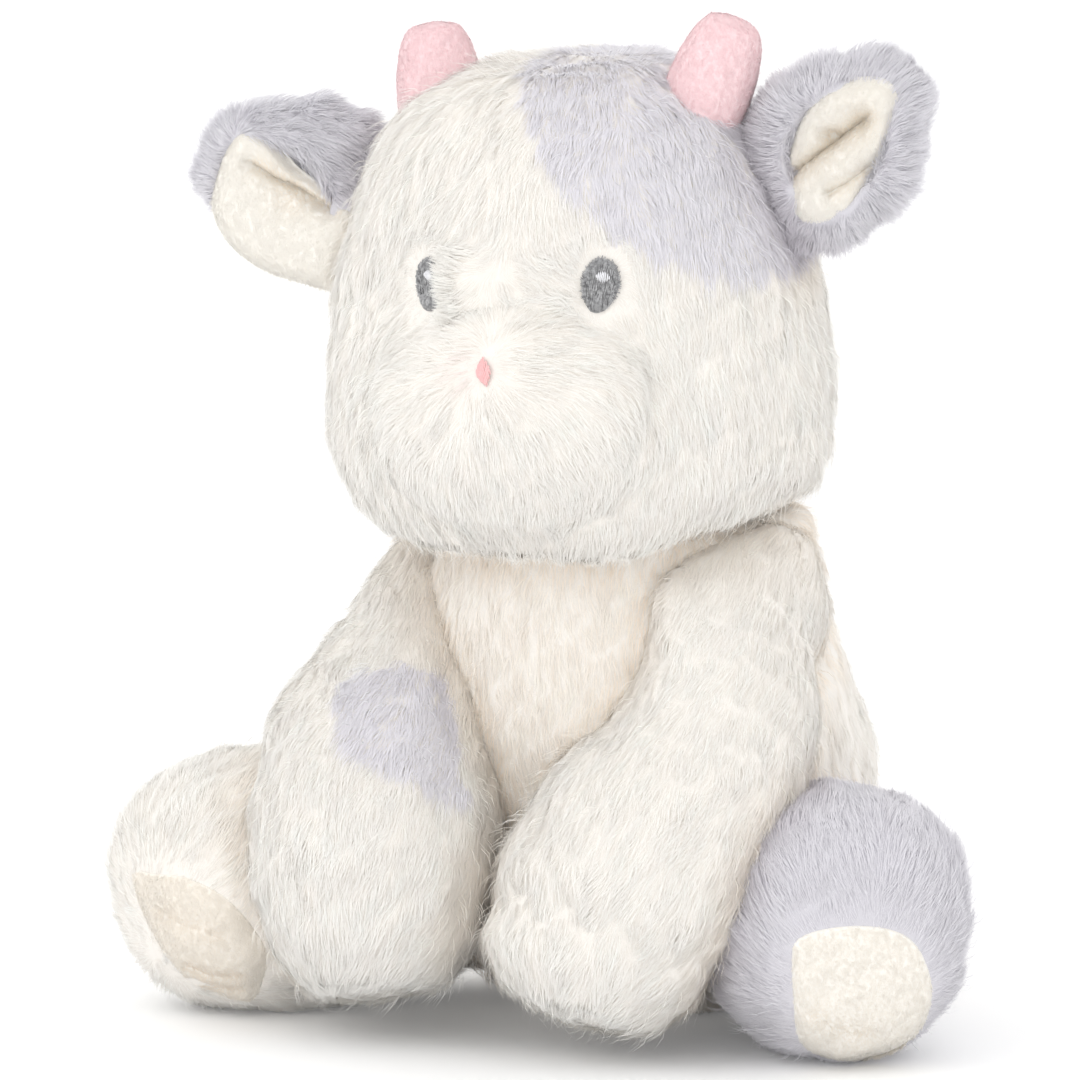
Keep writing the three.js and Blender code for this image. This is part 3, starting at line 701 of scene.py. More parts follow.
def fur(name, roots, comb, tones, seed, pile=LONG, length=None, deep=None, tip_colour=None):
    """One piece of fur: ribbons of a quad and a triangle that grow along the comb. They lie nearly
    flat and take the light as the skin does, so that the pile looks dense and soft. Strays are
    turned edge on, to show as fuzz on the outline alone."""
    random = np.random.default_rng(seed + 1)
    count = len(roots.at)
    length = pile.length if length is None else length
    root, middle, tip, last, clump, stray = strand_paths(roots, comb, length, pile, seed)
    flat_side = unit(np.cross(last, roots.normal))
    spread = random.normal(size=(count, 1)) * np.where(stray, STRAY_TURN, LAID_TURN)
    turn = np.where(stray, math.pi / 2, 0) + spread
    side = flat_side * np.cos(turn) + np.cross(flat_side, last) * np.sin(turn)
    facing = np.where(stray | (pile is BRIDGE_PILE), unit(np.cross(side, last)), roots.normal)
    width = pile.width * random.uniform(*WIDTHS, (count, 1)) * np.where(stray, STRAY_WIDTH, 1)
    half = side * width * MM / 2
    ribbon = [root - half, root + half, middle - half * 0.9, middle + half * 0.9, tip]
    shade = 1 + random.normal(size=(count, 1)) * STRAND_SHADE
    shade = shade + random.normal(size=clump.max() + 1)[clump][:, None] * CLUMP_SHADE
    # Painted shade: the deep share darkens and warms the root fully and the tip by 0.6
    low, painted_shade_tone = np.array(tones.root), np.array(tones.deep)
    high = np.broadcast_to(np.array(tones.tip if tip_colour is None else tip_colour), (count, 3))
    share = np.zeros((count, 1)) if deep is None else deep[:, None]
    low = low + (painted_shade_tone - low) * share
    high = high + (painted_shade_tone - high) * share * 0.6
    between = low * 0.4 + high * 0.6
    tints = [low * shade, low * shade, between * shade, between * shade, high * shade]
    material = SHORT_PILE if pile is VELVET else LONG_PILE
    return strand_object(name, np.stack(ribbon, 1), np.stack(tints, 1), facing, material)


def strand_object(name, ribbon, tints, facing, material):
    """A mesh of five-point ribbons, coloured by their tints and shaded as if they faced this way."""
    count = len(ribbon)
    mesh = bpy.data.meshes.new(name)
    mesh.vertices.add(count * 5)
    mesh.vertices.foreach_set("co", ribbon.astype(np.float32).ravel())
    first = np.arange(count)[:, None] * 5
    corners = (first + np.array([[0, 1, 3, 2, 2, 3, 4]])).ravel()
    mesh.loops.add(len(corners))
    mesh.loops.foreach_set("vertex_index", corners.astype(np.int32))
    starts = (np.arange(count)[:, None] * 7 + np.array([[0, 4]])).ravel()
    mesh.polygons.add(len(starts))
    mesh.polygons.foreach_set("loop_start", starts.astype(np.int32))
    mesh.update(calc_edges=True)
    colour = mesh.color_attributes.new("tint", "FLOAT_COLOR", "POINT")
    rgba = np.ones((count * 5, 4), np.float32)
    rgba[:, :3] = np.clip(tints.reshape(-1, 3), 0, 0.98)
    colour.data.foreach_set("color", rgba.ravel())
    mesh.normals_split_custom_set_from_vertices(np.repeat(facing, 5, axis=0).tolist())
    return add_object(name, mesh, material)


# Sheets: linings, soles and the ground of the embroidery, as star-shaped grids of points

def sheet(name, base, out, height, material, thick):
    """A thin closed sheet whose front is base + out * height, on rings and spokes of points, and that
    front as arrays."""
    front = base + out * height[..., None] * MM
    rings, spokes = front.shape[:2]
    points = np.concatenate([front[:1, 0], front[1:].reshape(-1, 3)])
    faces = []
    for k in range(spokes):
        after = (k + 1) % spokes
        faces.append([0, 1 + k, 1 + after])
        for ring in range(rings - 2):
            a, b = 1 + ring * spokes, 1 + (ring + 1) * spokes
            faces.append([a + k, b + k, b + after])
            faces.append([a + k, b + after, a + after])
    faces = np.array(faces)
    a, b, c = (points[faces[:, i]] for i in range(3))
    outward = np.sum(np.cross(b - a, c - a), axis=0) @ out.reshape(-1, 3).mean(axis=0)
    if outward < 0:
        faces = faces[:, ::-1]
    mesh = bpy.data.meshes.new(name)
    mesh.from_pydata(points.tolist(), [], faces.tolist())
    obj = add_object(name, mesh, material)
    normals = normals_of(mesh)
    solidify = obj.modifiers.new("thickness", "SOLIDIFY")
    solidify.thickness = thick * MM
    solidify.offset = -1
    settle(obj, material)
    return obj, (points, normals, faces)


def velvet(name, front, tones, count, seed, comb, painted_shade_at=None):
    """Short pile over the front of a sheet. The last argument gives, from the roots' pixels, the share of the deep
    tone, which is painted shade.
    """
    roots = Roots(*front, count, seed)
    deep = None if painted_shade_at is None else painted_shade_at(pixels_of(roots.at))
    return fur(name, roots, np.tile(comb, (count, 1)), tones, seed + 1, VELVET, deep=deep)


# Embroidery

def threads(name, paths, radius, material):
    """Stitches as thin tubes of four sides along paths of the same number of points."""
    count, steps = paths.shape[:2]
    ahead = unit(np.gradient(paths, axis=1))
    side = unit(np.cross(ahead, np.broadcast_to(FORWARD, ahead.shape)))
    over = np.cross(side, ahead)
    taper = np.ones(steps)
    taper[[0, -1]] = 0.45
    rings = [paths + (side * c + over * s) * radius * MM * taper[None, :, None]
             for c, s in ((1, 0), (0, 1), (-1, 0), (0, -1))]
    points = np.stack(rings, axis=2).reshape(-1, 3)
    faces = []
    for k in range(count):
        for step in range(steps - 1):
            first = (k * steps + step) * 4
            for i in range(4):
                j = (i + 1) % 4
                faces.append([first + i, first + j, first + 4 + j, first + 4 + i])
        start, end = k * steps * 4, (k * steps + steps - 1) * 4
        faces.append([start + 3, start + 2, start + 1, start])
        faces.append([end, end + 1, end + 2, end + 3])
    mesh = bpy.data.meshes.new(name)
    mesh.from_pydata(points.tolist(), [], faces)
    mesh.polygons.foreach_set("use_smooth", [True] * len(mesh.polygons))
    return add_object(name, mesh, material)


def before_face(flat):
    """Places given as x and z in mm, well in front of the face."""
    return np.stack([flat[..., 0], np.full(flat.shape[:-1], IN_FRONT), flat[..., 1]], -1) * MM


def stitches_on(tree, flat_paths, lift, arch):
    """Paths given as x and z in mm, laid on a surface from the front and lifted off it."""
    at, normal = cast(tree, before_face(flat_paths), -FORWARD)
    rise = lift + arch * np.sin(np.linspace(0, math.pi, flat_paths.shape[1]))
    return at + normal * (rise * MM)[None, :, None]


def straight(starts, ends, steps=6):
    """Straight paths of some steps from each start to its end."""
    share = np.linspace(0, 1, steps)[None, :, None]
    return starts[:, None, :] * (1 - share) + ends[:, None, :] * share


@dataclass
class Embroidery:
    """An embroidered oval or leaf: its middle and half sizes in mm, seen from the front, and its lean
    to the calf's left in degrees."""
    x: float
    z: float
    across: float
    high: float
    lean: float


EYES = {
    "left": Embroidery(x=16.6, z=166.8, across=3.7, high=5.8, lean=9),
    "right": Embroidery(x=-21.6, z=164.9, across=3.7, high=5.6, lean=4),
}
GLINT = {"x": 0.3, "z": 2.3, "radius": 1.2}
NOSE = Embroidery(x=-2.7, z=149.6, across=1.4, high=3.0, lean=-22)


def place_on(form, x, z):
    """From an eye's or the nose's own x and z to the head's."""
    lean = math.radians(form.lean)
    return np.stack([
        form.x + x * math.cos(lean) + z * math.sin(lean),
        form.z - x * math.sin(lean) + z * math.cos(lean),
    ], axis=-1)


def eye_ground(side, tree):
    """The dark oval that the stitches lie on."""
    eye = EYES[side]
    angle = np.linspace(0, 2 * math.pi, 48, False)
    share = np.linspace(0, 1, 10)[:, None]
    flat = place_on(eye, np.cos(angle) * share * eye.across, np.sin(angle) * share * eye.high)
    base, out = cast(tree, before_face(flat), -FORWARD)
    ground, _ = sheet(f"eye_{side}_ground", base, out, np.full(flat.shape[:2], 0.35), EYE_THREAD, 0.6)
    dress("head", ground, "grey_thread", f"eye_{side}")


def eye_fill(side, tree, random):
    """Upright satin stitches in columns, each broken in two places."""
    eye = EYES[side]
    lows, highs = [], []
    for x in np.arange(-eye.across + 0.2, eye.across - 0.1, 0.3):
        top = eye.high * math.sqrt(1 - (x / eye.across) ** 2)
        breaks = sorted(random.uniform(-0.7, 0.7, 2) * top)
        ends = [-top, *breaks, top]
        for low, high in zip(ends[:-1], ends[1:]):
            lows.append((x + random.normal() * 0.05, low))
            highs.append((x + random.normal() * 0.05, high + 0.3))
    paths = straight(place_on(eye, *np.array(lows).T), place_on(eye, *np.array(highs).T))
    paths = stitches_on(tree, paths, lift=0.45, arch=0.25)
    dress("head", threads(f"eye_{side}_stitches", paths, 0.17, EYE_THREAD), "grey_thread")


def eye_rim(side, tree, random):
    """Short stitches across the eye's edge, but for its foot."""
    eye, count = EYES[side], 64
    turn = np.linspace(math.radians(-35), math.radians(215), count)
    inner = 0.8 + random.uniform(-0.04, 0.04, count)
    outer = 1.06 + random.uniform(-0.05, 0.08, count)
    across, high = np.cos(turn) * eye.across, np.sin(turn) * eye.high
    starts, ends = (place_on(eye, across * share, high * share) for share in (inner, outer))
    paths = stitches_on(tree, straight(starts, ends), lift=0.5, arch=0.45)
    dress("head", threads(f"eye_{side}_rim", paths, 0.16, EYE_RIM_THREAD), "grey_thread")


def eye_glint(side, tree):
    """A round spot of white stitches near the top."""
    eye, radius = EYES[side], GLINT["radius"]
    rows = np.linspace(-radius, radius, 8)
    reach = np.sqrt(np.maximum(radius ** 2 - rows ** 2, 0.12))
    starts, ends = (place_on(eye, GLINT["x"] + rows, GLINT["z"] + reach * way) for way in (-1, 1))
    paths = stitches_on(tree, straight(starts, ends), lift=0.75, arch=0.35)
    glint = threads(f"eye_{side}_highlight", paths, 0.18, GLINT_THREAD)
    dress("head", glint, "white_thread", f"eye_{side}_glint")


def embroidered_eye(side, tree, seed):
    random = np.random.default_rng(seed)
    eye_ground(side, tree)
    eye_fill(side, tree, random)
    eye_rim(side, tree, random)
    eye_glint(side, tree)


def embroidered_nose(tree, seed):
    """A small leaf of pink stitches that leans to the calf's right."""
    random = np.random.default_rng(seed)
    rows = np.linspace(-0.92, 0.92, 9)
    reach = NOSE.high * (1 - rows ** 2) ** 0.6 * random.uniform(0.85, 1.05, len(rows))
    starts, ends = (place_on(NOSE, rows * NOSE.across, reach * way) for way in (-1, 1))
    paths = stitches_on(tree, straight(starts, ends, steps=8), lift=0.5, arch=0.8)
    nose = threads("nose_stitches", paths, 0.24, NOSE_THREAD)
    dress("head", nose, "pink_thread", "nose_stitch")


# The head

CROWN = np.array([0.0, -22.0, 222.0]) * MM
NOSE_AT = np.array([NOSE.x, -79.0, NOSE.z]) * MM
NOSE_CLEAR = 1.9
MUZZLE_REACH = 34.0
PARTING = 15.0
WHORL, WHORL_TURN = 7.0, 6.0
BLUSH_AT = NOSE_AT + np.array([-3.5, 0.0, 0.5]) * MM
BLUSH_RADIUS, BLUSH_SHARE = 4.0, 0.8
MUZZLE_SIDE = [(622, 318), (645, 356), (653, 400), (650, 440), (628, 478)]
MUZZLE_TOP = [(352, 322), (400, 300), (480, 290), (560, 298), (618, 322)]
BROW = {"at": np.array([-13.0, -66.0, 165.0]) * MM, "radius": 8.5, "out": 4.2}
SOCKETS = [
    {"at": np.array([-24.0, -61.0, 165.0]) * MM, "radius": 8.0, "out": -1.6},
    {"at": np.array([16.4, -62.0, 167.0]) * MM, "radius": 8.0, "out": -1.0},
]
CHEEK = {"at": np.array([14.0, -72.0, 140.0]) * MM, "radius": 16.0, "out": 1.2}

# Moves of soft forms in the photograph's plane: pixel, move in pixels, radius in mm
HEAD_NUDGES = [
    ((795, 535), (-8, -34), 16.0), ((830, 440), (-4, -2), 10.0), ((805, 485), (16, 4), 8.0),
    ((705, 562), (0, -20), 11.0), ((335, 280), (-8, 0), 8.0),
]
EAR_NUDGES = {"left": [], "right": [((378, 122), (10, -12), 6.0)]}
ARM_RIGHT_NUDGES = [((285, 700), (-16, -4), 13.0)]
LEG_LEFT_NUDGES = [((945, 825), (9, -8), 12.0), ((985, 935), (-5, 0), 9.0)]
LEG_RIGHT_NUDGES = [((105, 850), (-6, 0), 15.0)]
TORSO_NUDGES = [((798, 515), (20, -4), 10.0), ((875, 735), (9, 0), 12.0)]
ARM_LEFT_NUDGES = [
    ((735, 590), (-66, -14), 17.0), ((700, 700), (-10, 0), 14.0), ((798, 545), (10, -24), 10.0),
]
SHOULDER = {"at": (765, 590), "radius": 17.0, "out": 9.0}


def sculpt_head(mesh):
    """Presses in the eye sockets and the line round the muzzle, and fills the brow and cheek."""
    points, normals = points_of(mesh), normals_of(mesh)
    push = np.zeros(len(points))
    for form in (BROW, CHEEK, *SOCKETS):
        far = np.linalg.norm(points - form["at"], axis=1) / (form["radius"] * MM)
        push += form["out"] * np.exp(-far ** 2)
    pixels, front = pixels_of(points), smoothstep(normals @ TO_CAMERA, 0.0, 0.3)
    for line, deep, wide in ((MUZZLE_SIDE, 2.2, 3.2), (MUZZLE_TOP, 1.2, 3.5)):
        push -= fold(pixels, line, deep, wide) * front
    set_points(mesh, nudged(points + normals * push[:, None] * MM, HEAD_NUDGES))


def nudge(nudges):
    """A sculpt that only moves soft forms in the photograph's plane."""
    def sculpt(mesh):
        set_points(mesh, nudged(points_of(mesh), nudges))
    return sculpt


def sculpt_arm_left(mesh):
    """Fills out the shoulder, which is broad and reaches the chin."""
    points, normals = points_of(mesh), normals_of(mesh)
    far = np.linalg.norm(pixels_of(points) - SHOULDER["at"], axis=1) * PIXEL / SHOULDER["radius"]
    out = SHOULDER["out"] * np.exp(-far ** 2) * smoothstep(normals @ TO_CAMERA, -0.2, 0.3)
    set_points(mesh, nudged(points + TO_CAMERA * out[:, None] * MM, ARM_LEFT_NUDGES))


def head_comb(at):
    """The fur runs down from a whorl on the crown, and on the muzzle away from a short parting over
    the nose."""
    height = np.clip(at[:, 2:] - NOSE_AT[2], 0, PARTING * MM)
    from_nose = unit(at - NOSE_AT - height * UP)
    from_crown = unit(at - CROWN)
    whorl = np.exp(-np.linalg.norm(at - CROWN, axis=1) / (WHORL * MM))[:, None] * WHORL_TURN
    from_crown = unit(from_crown - UP * 0.6 + np.cross(UP, from_crown) * whorl)
    near = np.exp(-(np.linalg.norm(at - NOSE_AT, axis=1) / (MUZZLE_REACH * MM)) ** 4)[:, None]
    return unit(from_nose * near + from_crown * (1 - near) - UP * 0.25)


def eye_share(eye, at):
    """How far out each point is in terms of the eye's oval: 1 on its edge."""
    x = (at[:, 0] / MM - eye.x) / eye.across
    z = (at[:, 2] / MM - eye.z) / eye.high
    behind = np.where(at[:, 1] > -40 * MM, 10.0, 0.0)
    return np.sqrt(x ** 2 + z ** 2) + behind, x, z


def trimmed(edge, least, reach):
    """The share of their length that strands keep at this distance from an edge, both in mm."""
    return np.clip(least + edge / reach, least, 1)


def part_round_eye(eye, at, comb):
    """Parts and trims the fur round an eye. Tufts lie over its lower rim."""
    out, x, z = eye_share(eye, at)
    away = unit(np.stack([x, -0.1 + 0 * x, z], axis=1))
    near = (1 - smoothstep(out, 1.0, 2.6)) * smoothstep(z, -1.2, -0.5)
    trim = np.clip(0.3 + (out - 1.0) * 0.45, 0.3, 1)
    clear = out > 1.02
    return unit(comb * (1 - near[:, None]) + away * near[:, None]), trim, clear


def make_bridge_tuft(skin, seed):
    """Taller fur on the bridge, which hides the inner side of the right eye from the calf's left."""
    out, x, z = eye_share(EYES["right"], skin.points)
    strip = (x > 1.12 - 0.15 * z) & (x < 2.2) & (np.abs(z) < 1.3) & (out < 9)
    roots = Roots(skin.points, skin.normals, skin.triangles, STRANDS["bridge"], seed,
                  strip.astype(float))
    comb = np.tile([-1.0, -0.2, 0.15], (len(roots.at), 1))
    piece = fur("bridge_tuft", roots, comb, CREAM, seed + 1, BRIDGE_PILE)
    dress("head", piece, "cream_plush")


def make_head(skin):
    seed = SEEDS["head"]
    coat = Coat(skin, STRANDS["head"], seed)
    at, coat.comb = coat.at, head_comb(coat.at)
    from_nose = np.linalg.norm(at - NOSE_AT, axis=1) / MM
    keep = from_nose > NOSE_CLEAR
    coat.length *= trimmed(from_nose - NOSE_CLEAR, 0.6, 9)
    for eye in EYES.values():
        coat.comb, trim, clear = part_round_eye(eye, at, coat.comb)
        coat.length *= trim
        keep &= clear
    haze = np.exp(-(np.linalg.norm(at - BLUSH_AT, axis=1) / (BLUSH_RADIUS * MM)) ** 2) * BLUSH_SHARE
    tip = CREAM.tip + (np.array(BLUSH) - CREAM.tip) * haze[:, None]
    patch = nearer_second("head_cover", "head_patch", skin, coat.roots)
    cream = keep & ~patch
    piece = coat.grow("head_fur", CREAM, cream, tip_colour=tip[cream])
    dress("head", piece, "cream_plush", "head_cover")
    piece = coat.grow("head_patch_fur", PATCH_GREY, in_pairs(keep & patch), number=2)
    dress("head", piece, "grey_plush", "head_patch")
    dress("head", skin.obj, "cream_plush", fill=0.8)
    make_bridge_tuft(skin, seed + 7)
    for number, side in enumerate(EYES):
        embroidered_eye(side, skin.tree, seed + 4 + number)
    embroidered_nose(skin.tree, seed + 6)


# Torso and limbs

# How much of the deep tone is painted on what faces the front of the torso, as warm painted shade
CHEST_PAINTED_WARM_SHADE = 0.4


def make_torso(skin):
    """The chest is painted a warmer shade, as of light thrown back from the arms round it."""
    coat = Coat(skin, STRANDS["torso"], SEEDS["torso"])
    coat.deep = np.maximum(coat.deep, CHEST_PAINTED_WARM_SHADE * (coat.normal @ FORWARD))
    piece = coat.grow("body_fur", BODY_CREAM)
    dress("torso", piece, "cream_plush", "body_front_panel", "body_back_panel")
    dress("torso", skin.obj, "cream_plush", fill=0.7)


def joint_at(body):
    return np.array(next(j for j in frame["joints"] if j["child"] == body)["pos_m"])


ARM_PATCH = Outline([
    (343, 690), (356, 670), (390, 660), (428, 662), (450, 676), (457, 715), (462, 765), (474, 800),
    (440, 788), (400, 766), (362, 750), (342, 725),
])


def make_arm(skin):
    """Fur that runs down the arm, with the grey patch on the right one."""
    body = skin.body
    coat = Coat(skin, STRANDS[body], SEEDS[body])
    coat.comb[:] = unit(unit(coat.at.mean(axis=0) - joint_at(body)) - UP * 0.3)
    patch = np.zeros(len(coat.at), bool)
    if body == "arm_right":
        uneven = wave_noise(coat.at, 6, 4)[:, None] * 6
        patch = ARM_PATCH.holds(pixels_of(coat.at) + uneven) & (coat.normal @ TO_CAMERA > 0)
        piece = coat.grow("arm_right_patch_fur", PATCH_GREY, in_pairs(patch), number=2)
        dress(body, piece, "grey_plush", "arm_right_patch")
    dress(body, coat.grow(f"{body}_fur", CREAM, ~patch), "cream_plush", f"{body}_cover")
    dress(body, skin.obj, "cream_plush", fill=0.75)


SOLES = {
    "left": Outline([
        (789, 944), (800, 930), (830, 922), (868, 921), (900, 930), (918, 951), (927, 984),
        (920, 1020), (896, 1045), (856, 1056), (815, 1050), (795, 1032), (790, 990),
    ]),
    "right": Outline([
        (132, 872), (150, 874), (179, 876), (203, 884), (229, 900), (252, 926), (266, 952),
        (262, 982), (250, 1002), (220, 996), (189, 982), (169, 960), (150, 930), (136, 899),
    ]),
}
SOLE_FOLDS = {
    "left": [([(800, 1000), (830, 1022), (880, 1030)], 0.5, 1.6)],
    "right": [
        ([(178, 962), (212, 974), (252, 976)], 0.9, 1.0),
        ([(184, 978), (216, 987), (250, 990)], 0.8, 0.9),
        ([(150, 905), (190, 925), (235, 940)], 0.4, 1.8),
    ],
}
SOLE_RISE = 1.5
SOLE_ROUND = 2.2
SOLE_COVERS = 0.97


def folds_of(pixels, folds):
    return sum(fold(pixels, line, deep, wide) for line, deep, wide in folds)


def make_sole(side, skin, seed):
    """The foot's flat velour sole, laid on the end of the foot inside the photographed outline."""
    outline, body = SOLES[side], skin.body
    pixels = outline.grid(72, 26)
    base, normal = cast(skin.tree, on_depth(pixels, IN_FRONT), -TO_CAMERA)
    out = unit(normal * 0.5 + unit(normal.reshape(-1, 3).mean(axis=0)) * 0.5)
    rounded = 1 - np.exp(-outline.depth(pixels) / SOLE_ROUND)
    height = SOLE_RISE * rounded - folds_of(pixels, SOLE_FOLDS[side])
    tones, backing = (SOLE, "pale") if side == "left" else (PEACH, "peach")
    obj, front = sheet(f"{body}_sole_cloth", base, out, height, BACKINGS[backing], 1.2)
    dress(body, obj, "pale_velour", f"{body}_sole", fill=0.5)
    # Painted shade: in the folds the pile takes the deep tone
    pile = velvet(f"{body}_sole_pile", front, tones, STRANDS["sole"], seed, -UP,
                  lambda at: np.clip(folds_of(at, SOLE_FOLDS[side]), 0, 1) * 0.8)
    dress(body, pile, "pale_velour")


def make_leg(skin, tones, slot):
    """Fur that fans back and out from the sole's rim, where it is shorter."""
    body, seed = skin.body, SEEDS[skin.body]
    side = body.split("_")[1]
    bare = SOLES[side].holds(pixels_of(skin.points), SOLE_COVERS) & (skin.normals @ TO_CAMERA > 0)
    coat = Coat(skin, STRANDS[body], seed, bare)
    coat.comb = unit(coat.at - middle_of(f"{body}_sole")) + UP * 0.15
    edge = SOLES[side].depth(pixels_of(coat.at))
    coat.length *= np.where(coat.normal @ TO_CAMERA > 0, trimmed(edge, 0.45, 9), 1.0)
    dress(body, coat.grow(f"{body}_fur", tones), slot, f"{body}_cover")
    dress(body, skin.obj, slot, fill=0.75)
    make_sole(side, skin, seed + 3)


# Ears

LININGS = {
    "left": Outline([
        (781, 184), (784, 160), (797, 122), (815, 99), (843, 84), (878, 84), (892, 99), (892, 126),
        (883, 153), (870, 172), (862, 196), (848, 219), (816, 232), (793, 222), (786, 202),
    ], middle=(836, 158)),
    "right": Outline([
        (210, 200), (212, 182), (224, 147), (239, 128), (252, 126), (268, 135), (283, 149),
        (296, 166), (311, 179), (330, 191), (360, 207), (366, 232), (356, 266), (338, 290),
        (296, 281), (268, 272), (246, 259), (228, 243), (215, 222),
    ], middle=(278, 212)),
}
LINING_FOLDS = {
    "left": [
        ([(779, 187), (800, 170), (822, 153), (853, 129), (878, 111)], 4.6, 1.5),
        ([(822, 198), (845, 186), (872, 165)], 2.6, 1.3),
    ],
    "right": [
        ([(246, 154), (265, 168), (283, 180), (314, 197), (349, 217)], 4.4, 1.3),
    ],
}
HOLLOWS = {
    "left": [((858, 126), 4.0, 1.6), ((829, 139), 2.0, 3.6)],
    "right": [((292, 198), 4.5, 2.0), ((318, 250), 6.0, -0.8)],
}
EAR_SHAPES = {
    "left": Outline([
        (763, 84), (792, 62), (815, 54), (841, 54), (864, 47), (884, 49), (903, 58), (921, 73),
        (933, 94), (929, 116), (926, 136), (919, 159), (917, 176), (909, 193), (897, 210),
        (858, 246), (826, 260), (790, 245), (765, 200), (752, 140),
    ], middle=(848, 150)),
    "right": Outline([
        (185, 173), (196, 138), (212, 111), (230, 101), (258, 93), (290, 96), (323, 104),
        (356, 109), (394, 120), (396, 180), (375, 250), (345, 284), (320, 284), (293, 279),
        (262, 267), (243, 255), (227, 237), (211, 217), (195, 198),
    ], middle=(285, 190)),
}
EAR_FUR_PIXELS = 12.0
EAR_BINS = 48
LINING_DEPTH = {"left": -28.3, "right": -28.5}
LINING_PUFF = {"left": 4.2, "right": 5.0}
LINING_COVERS = 0.91
RIGHT_TIP_X = (-86, -78)
RIGHT_LOW_EDGE_Z = (164, 173)


def hollows_of(pixels, hollows):
    total = np.zeros(pixels.shape[:-1])
    for middle, radius, deep in hollows:
        far = np.linalg.norm(pixels - np.array(middle), axis=-1) * PIXEL / radius
        total += deep * np.exp(-far ** 2)
    return total


def ear_sculpt(side):
    """Draws the ear's free edge to the photographed one, less the height of its fur."""
    def sculpt(mesh):
        points = points_of(mesh)
        shape = EAR_SHAPES[side]
        away = pixels_of(points) - shape.middle
        far, angle = np.linalg.norm(away, axis=1), np.arctan2(away[:, 1], away[:, 0])
        bins = ((angle + math.pi) / (2 * math.pi) * EAR_BINS).astype(int) % EAR_BINS
        own = np.array([far[bins == k].max() for k in range(EAR_BINS)])
        own = (np.roll(own, 1) + own * 2 + np.roll(own, -1)) / 4
        middles = (np.arange(EAR_BINS) + 0.5) / EAR_BINS * 2 * math.pi - math.pi
        own = np.interp(angle, middles, own, period=2 * math.pi)
        below = smoothstep(np.sin(angle), 0.2, 0.7) if side == "right" else 0.0
        wanted = shape.radius(angle) - EAR_FUR_PIXELS * (1 - 0.75 * below)
        free = smoothstep(np.cos(angle) * (1 if side == "left" else -1), -0.45, 0.1)
        stretch = (np.clip(wanted / own, 0.8, 1.15) - 1) * free
        move = away * stretch[:, None] * PIXEL * MM
        points = points + move[:, :1] * TO_RIGHT - move[:, 1:] * TO_TOP
        set_points(mesh, nudged(points, EAR_NUDGES[side]))
    return sculpt


def make_lining(side, seed):
    """The lining with its pressed folds: rolls of velour that round off into the ear's edge."""
    outline = LININGS[side]
    pixels = outline.grid(120, 56)
    inside = outline.depth(pixels)
    fall = smoothstep(inside, 0.0, 5.0) * 0.55 + smoothstep(inside, 0.0, 2.0) * 0.45
    height = LINING_PUFF[side] * fall - hollows_of(pixels, HOLLOWS[side])
    height -= folds_of(pixels, LINING_FOLDS[side])
    base = on_depth(pixels, LINING_DEPTH[side])
    out = np.broadcast_to(FORWARD, base.shape)
    obj, front = sheet(f"ear_{side}_lining_cloth", base, out, height, BACKINGS["pale"], 0.9)
    dress(f"ear_{side}", obj, "pale_velour", f"ear_{side}_lining", fill=0.3)

    # Painted shade: in the folds and hollows the pile takes the deep tone
    def painted_fold_shade(at):
        return np.clip(folds_of(at, LINING_FOLDS[side]) / 3 + hollows_of(at, HOLLOWS[side]) / 5, 0, 1)

    pile = velvet(f"ear_{side}_lining_pile", front, PALE, STRANDS["lining"], seed, -UP, painted_fold_shade)
    dress(f"ear_{side}", pile, "pale_velour")


def make_ear(side, skin):
    """Fur that fans out to the ear's edge. On the right ear's tip it lies inward and down, and its low edge is
    cream.
    """
    body, seed, outline = skin.body, SEEDS[skin.body], LININGS[side]
    bare = outline.holds(pixels_of(skin.points), LINING_COVERS) & (skin.normals[:, 1] < 0.2)
    coat = Coat(skin, STRANDS["ear"], seed, bare, EAR_PILE.length)
    at = coat.at
    coat.comb = unit((at - middle_of(f"{body}_lining")) * np.array([1, 0.3, 1])) - FORWARD * 0.8
    cream = np.zeros(len(at), bool)
    if side == "right":
        down_in = smoothstep(at[:, 0] / MM, *RIGHT_TIP_X)[:, None]
        coat.comb = unit(coat.comb * (1 - down_in * 0.7) + np.array([0.8, 0, -0.6]) * down_in)
        low_edge = smoothstep(at[:, 2] / MM, *RIGHT_LOW_EDGE_Z)
        coat.length *= 0.25 + 0.75 * low_edge
        cream = (low_edge < 0.5) & (coat.normal[:, 1] < 0.3)
        coat.deep[cream] = 0
    edge = outline.depth(pixels_of(at))
    coat.length *= np.where(coat.normal[:, 1] < 0, trimmed(edge, 0.55, 8), 1.0)
    piece = coat.grow(f"{body}_fur", GREY, ~cream, pile=EAR_PILE)
    dress(body, piece, "grey_plush", f"{body}_back")
    if cream.any():
        dress(body, coat.grow(f"{body}_rim_fur", PALE, cream, number=2), "pale_velour")
    dress(body, skin.obj, "grey_plush", fill=0.5)
    make_lining(side, seed + 4)


# Horns and tail

def make_horn(side):
    horn = f"horn_{side}"
    nodes = [f"{horn}_cover", f"{horn}_stuffing"]
    obj = skin_object(f"{horn}_cloth", nodes, BACKINGS["pink"], voxel=0.9, smooth=8)
    dress("head", obj, "pink_velour", nodes[0], fill=0.9)
    front = points_of(obj.data), normals_of(obj.data), triangles_of(obj.data)
    pile = velvet(f"{horn}_pile", front, PINK, STRANDS["horn"], SEEDS[horn], UP)
    dress("head", pile, "pink_velour")


def make_tail(skin):
    coat = Coat(skin, STRANDS["tail"], SEEDS["tail"])
    coat.comb[:] = unit(np.array([0, 0.3, -1.0]))
    dress("tail", coat.grow("tail_fur", CREAM), "cream_plush", "tail_cover", "tail_tuft")
    dress("tail", skin.obj, "cream_plush", fill=0.6)


# What is inside: loose filling, the pouch and the rattle

FILLING_INSET = 1.2
FILLING_LUMPS = {"size": 9, "height": 0.5}
PLEATS = 18
PLEAT_DEPTH = 0.35
POUCH_INSET = 0.2


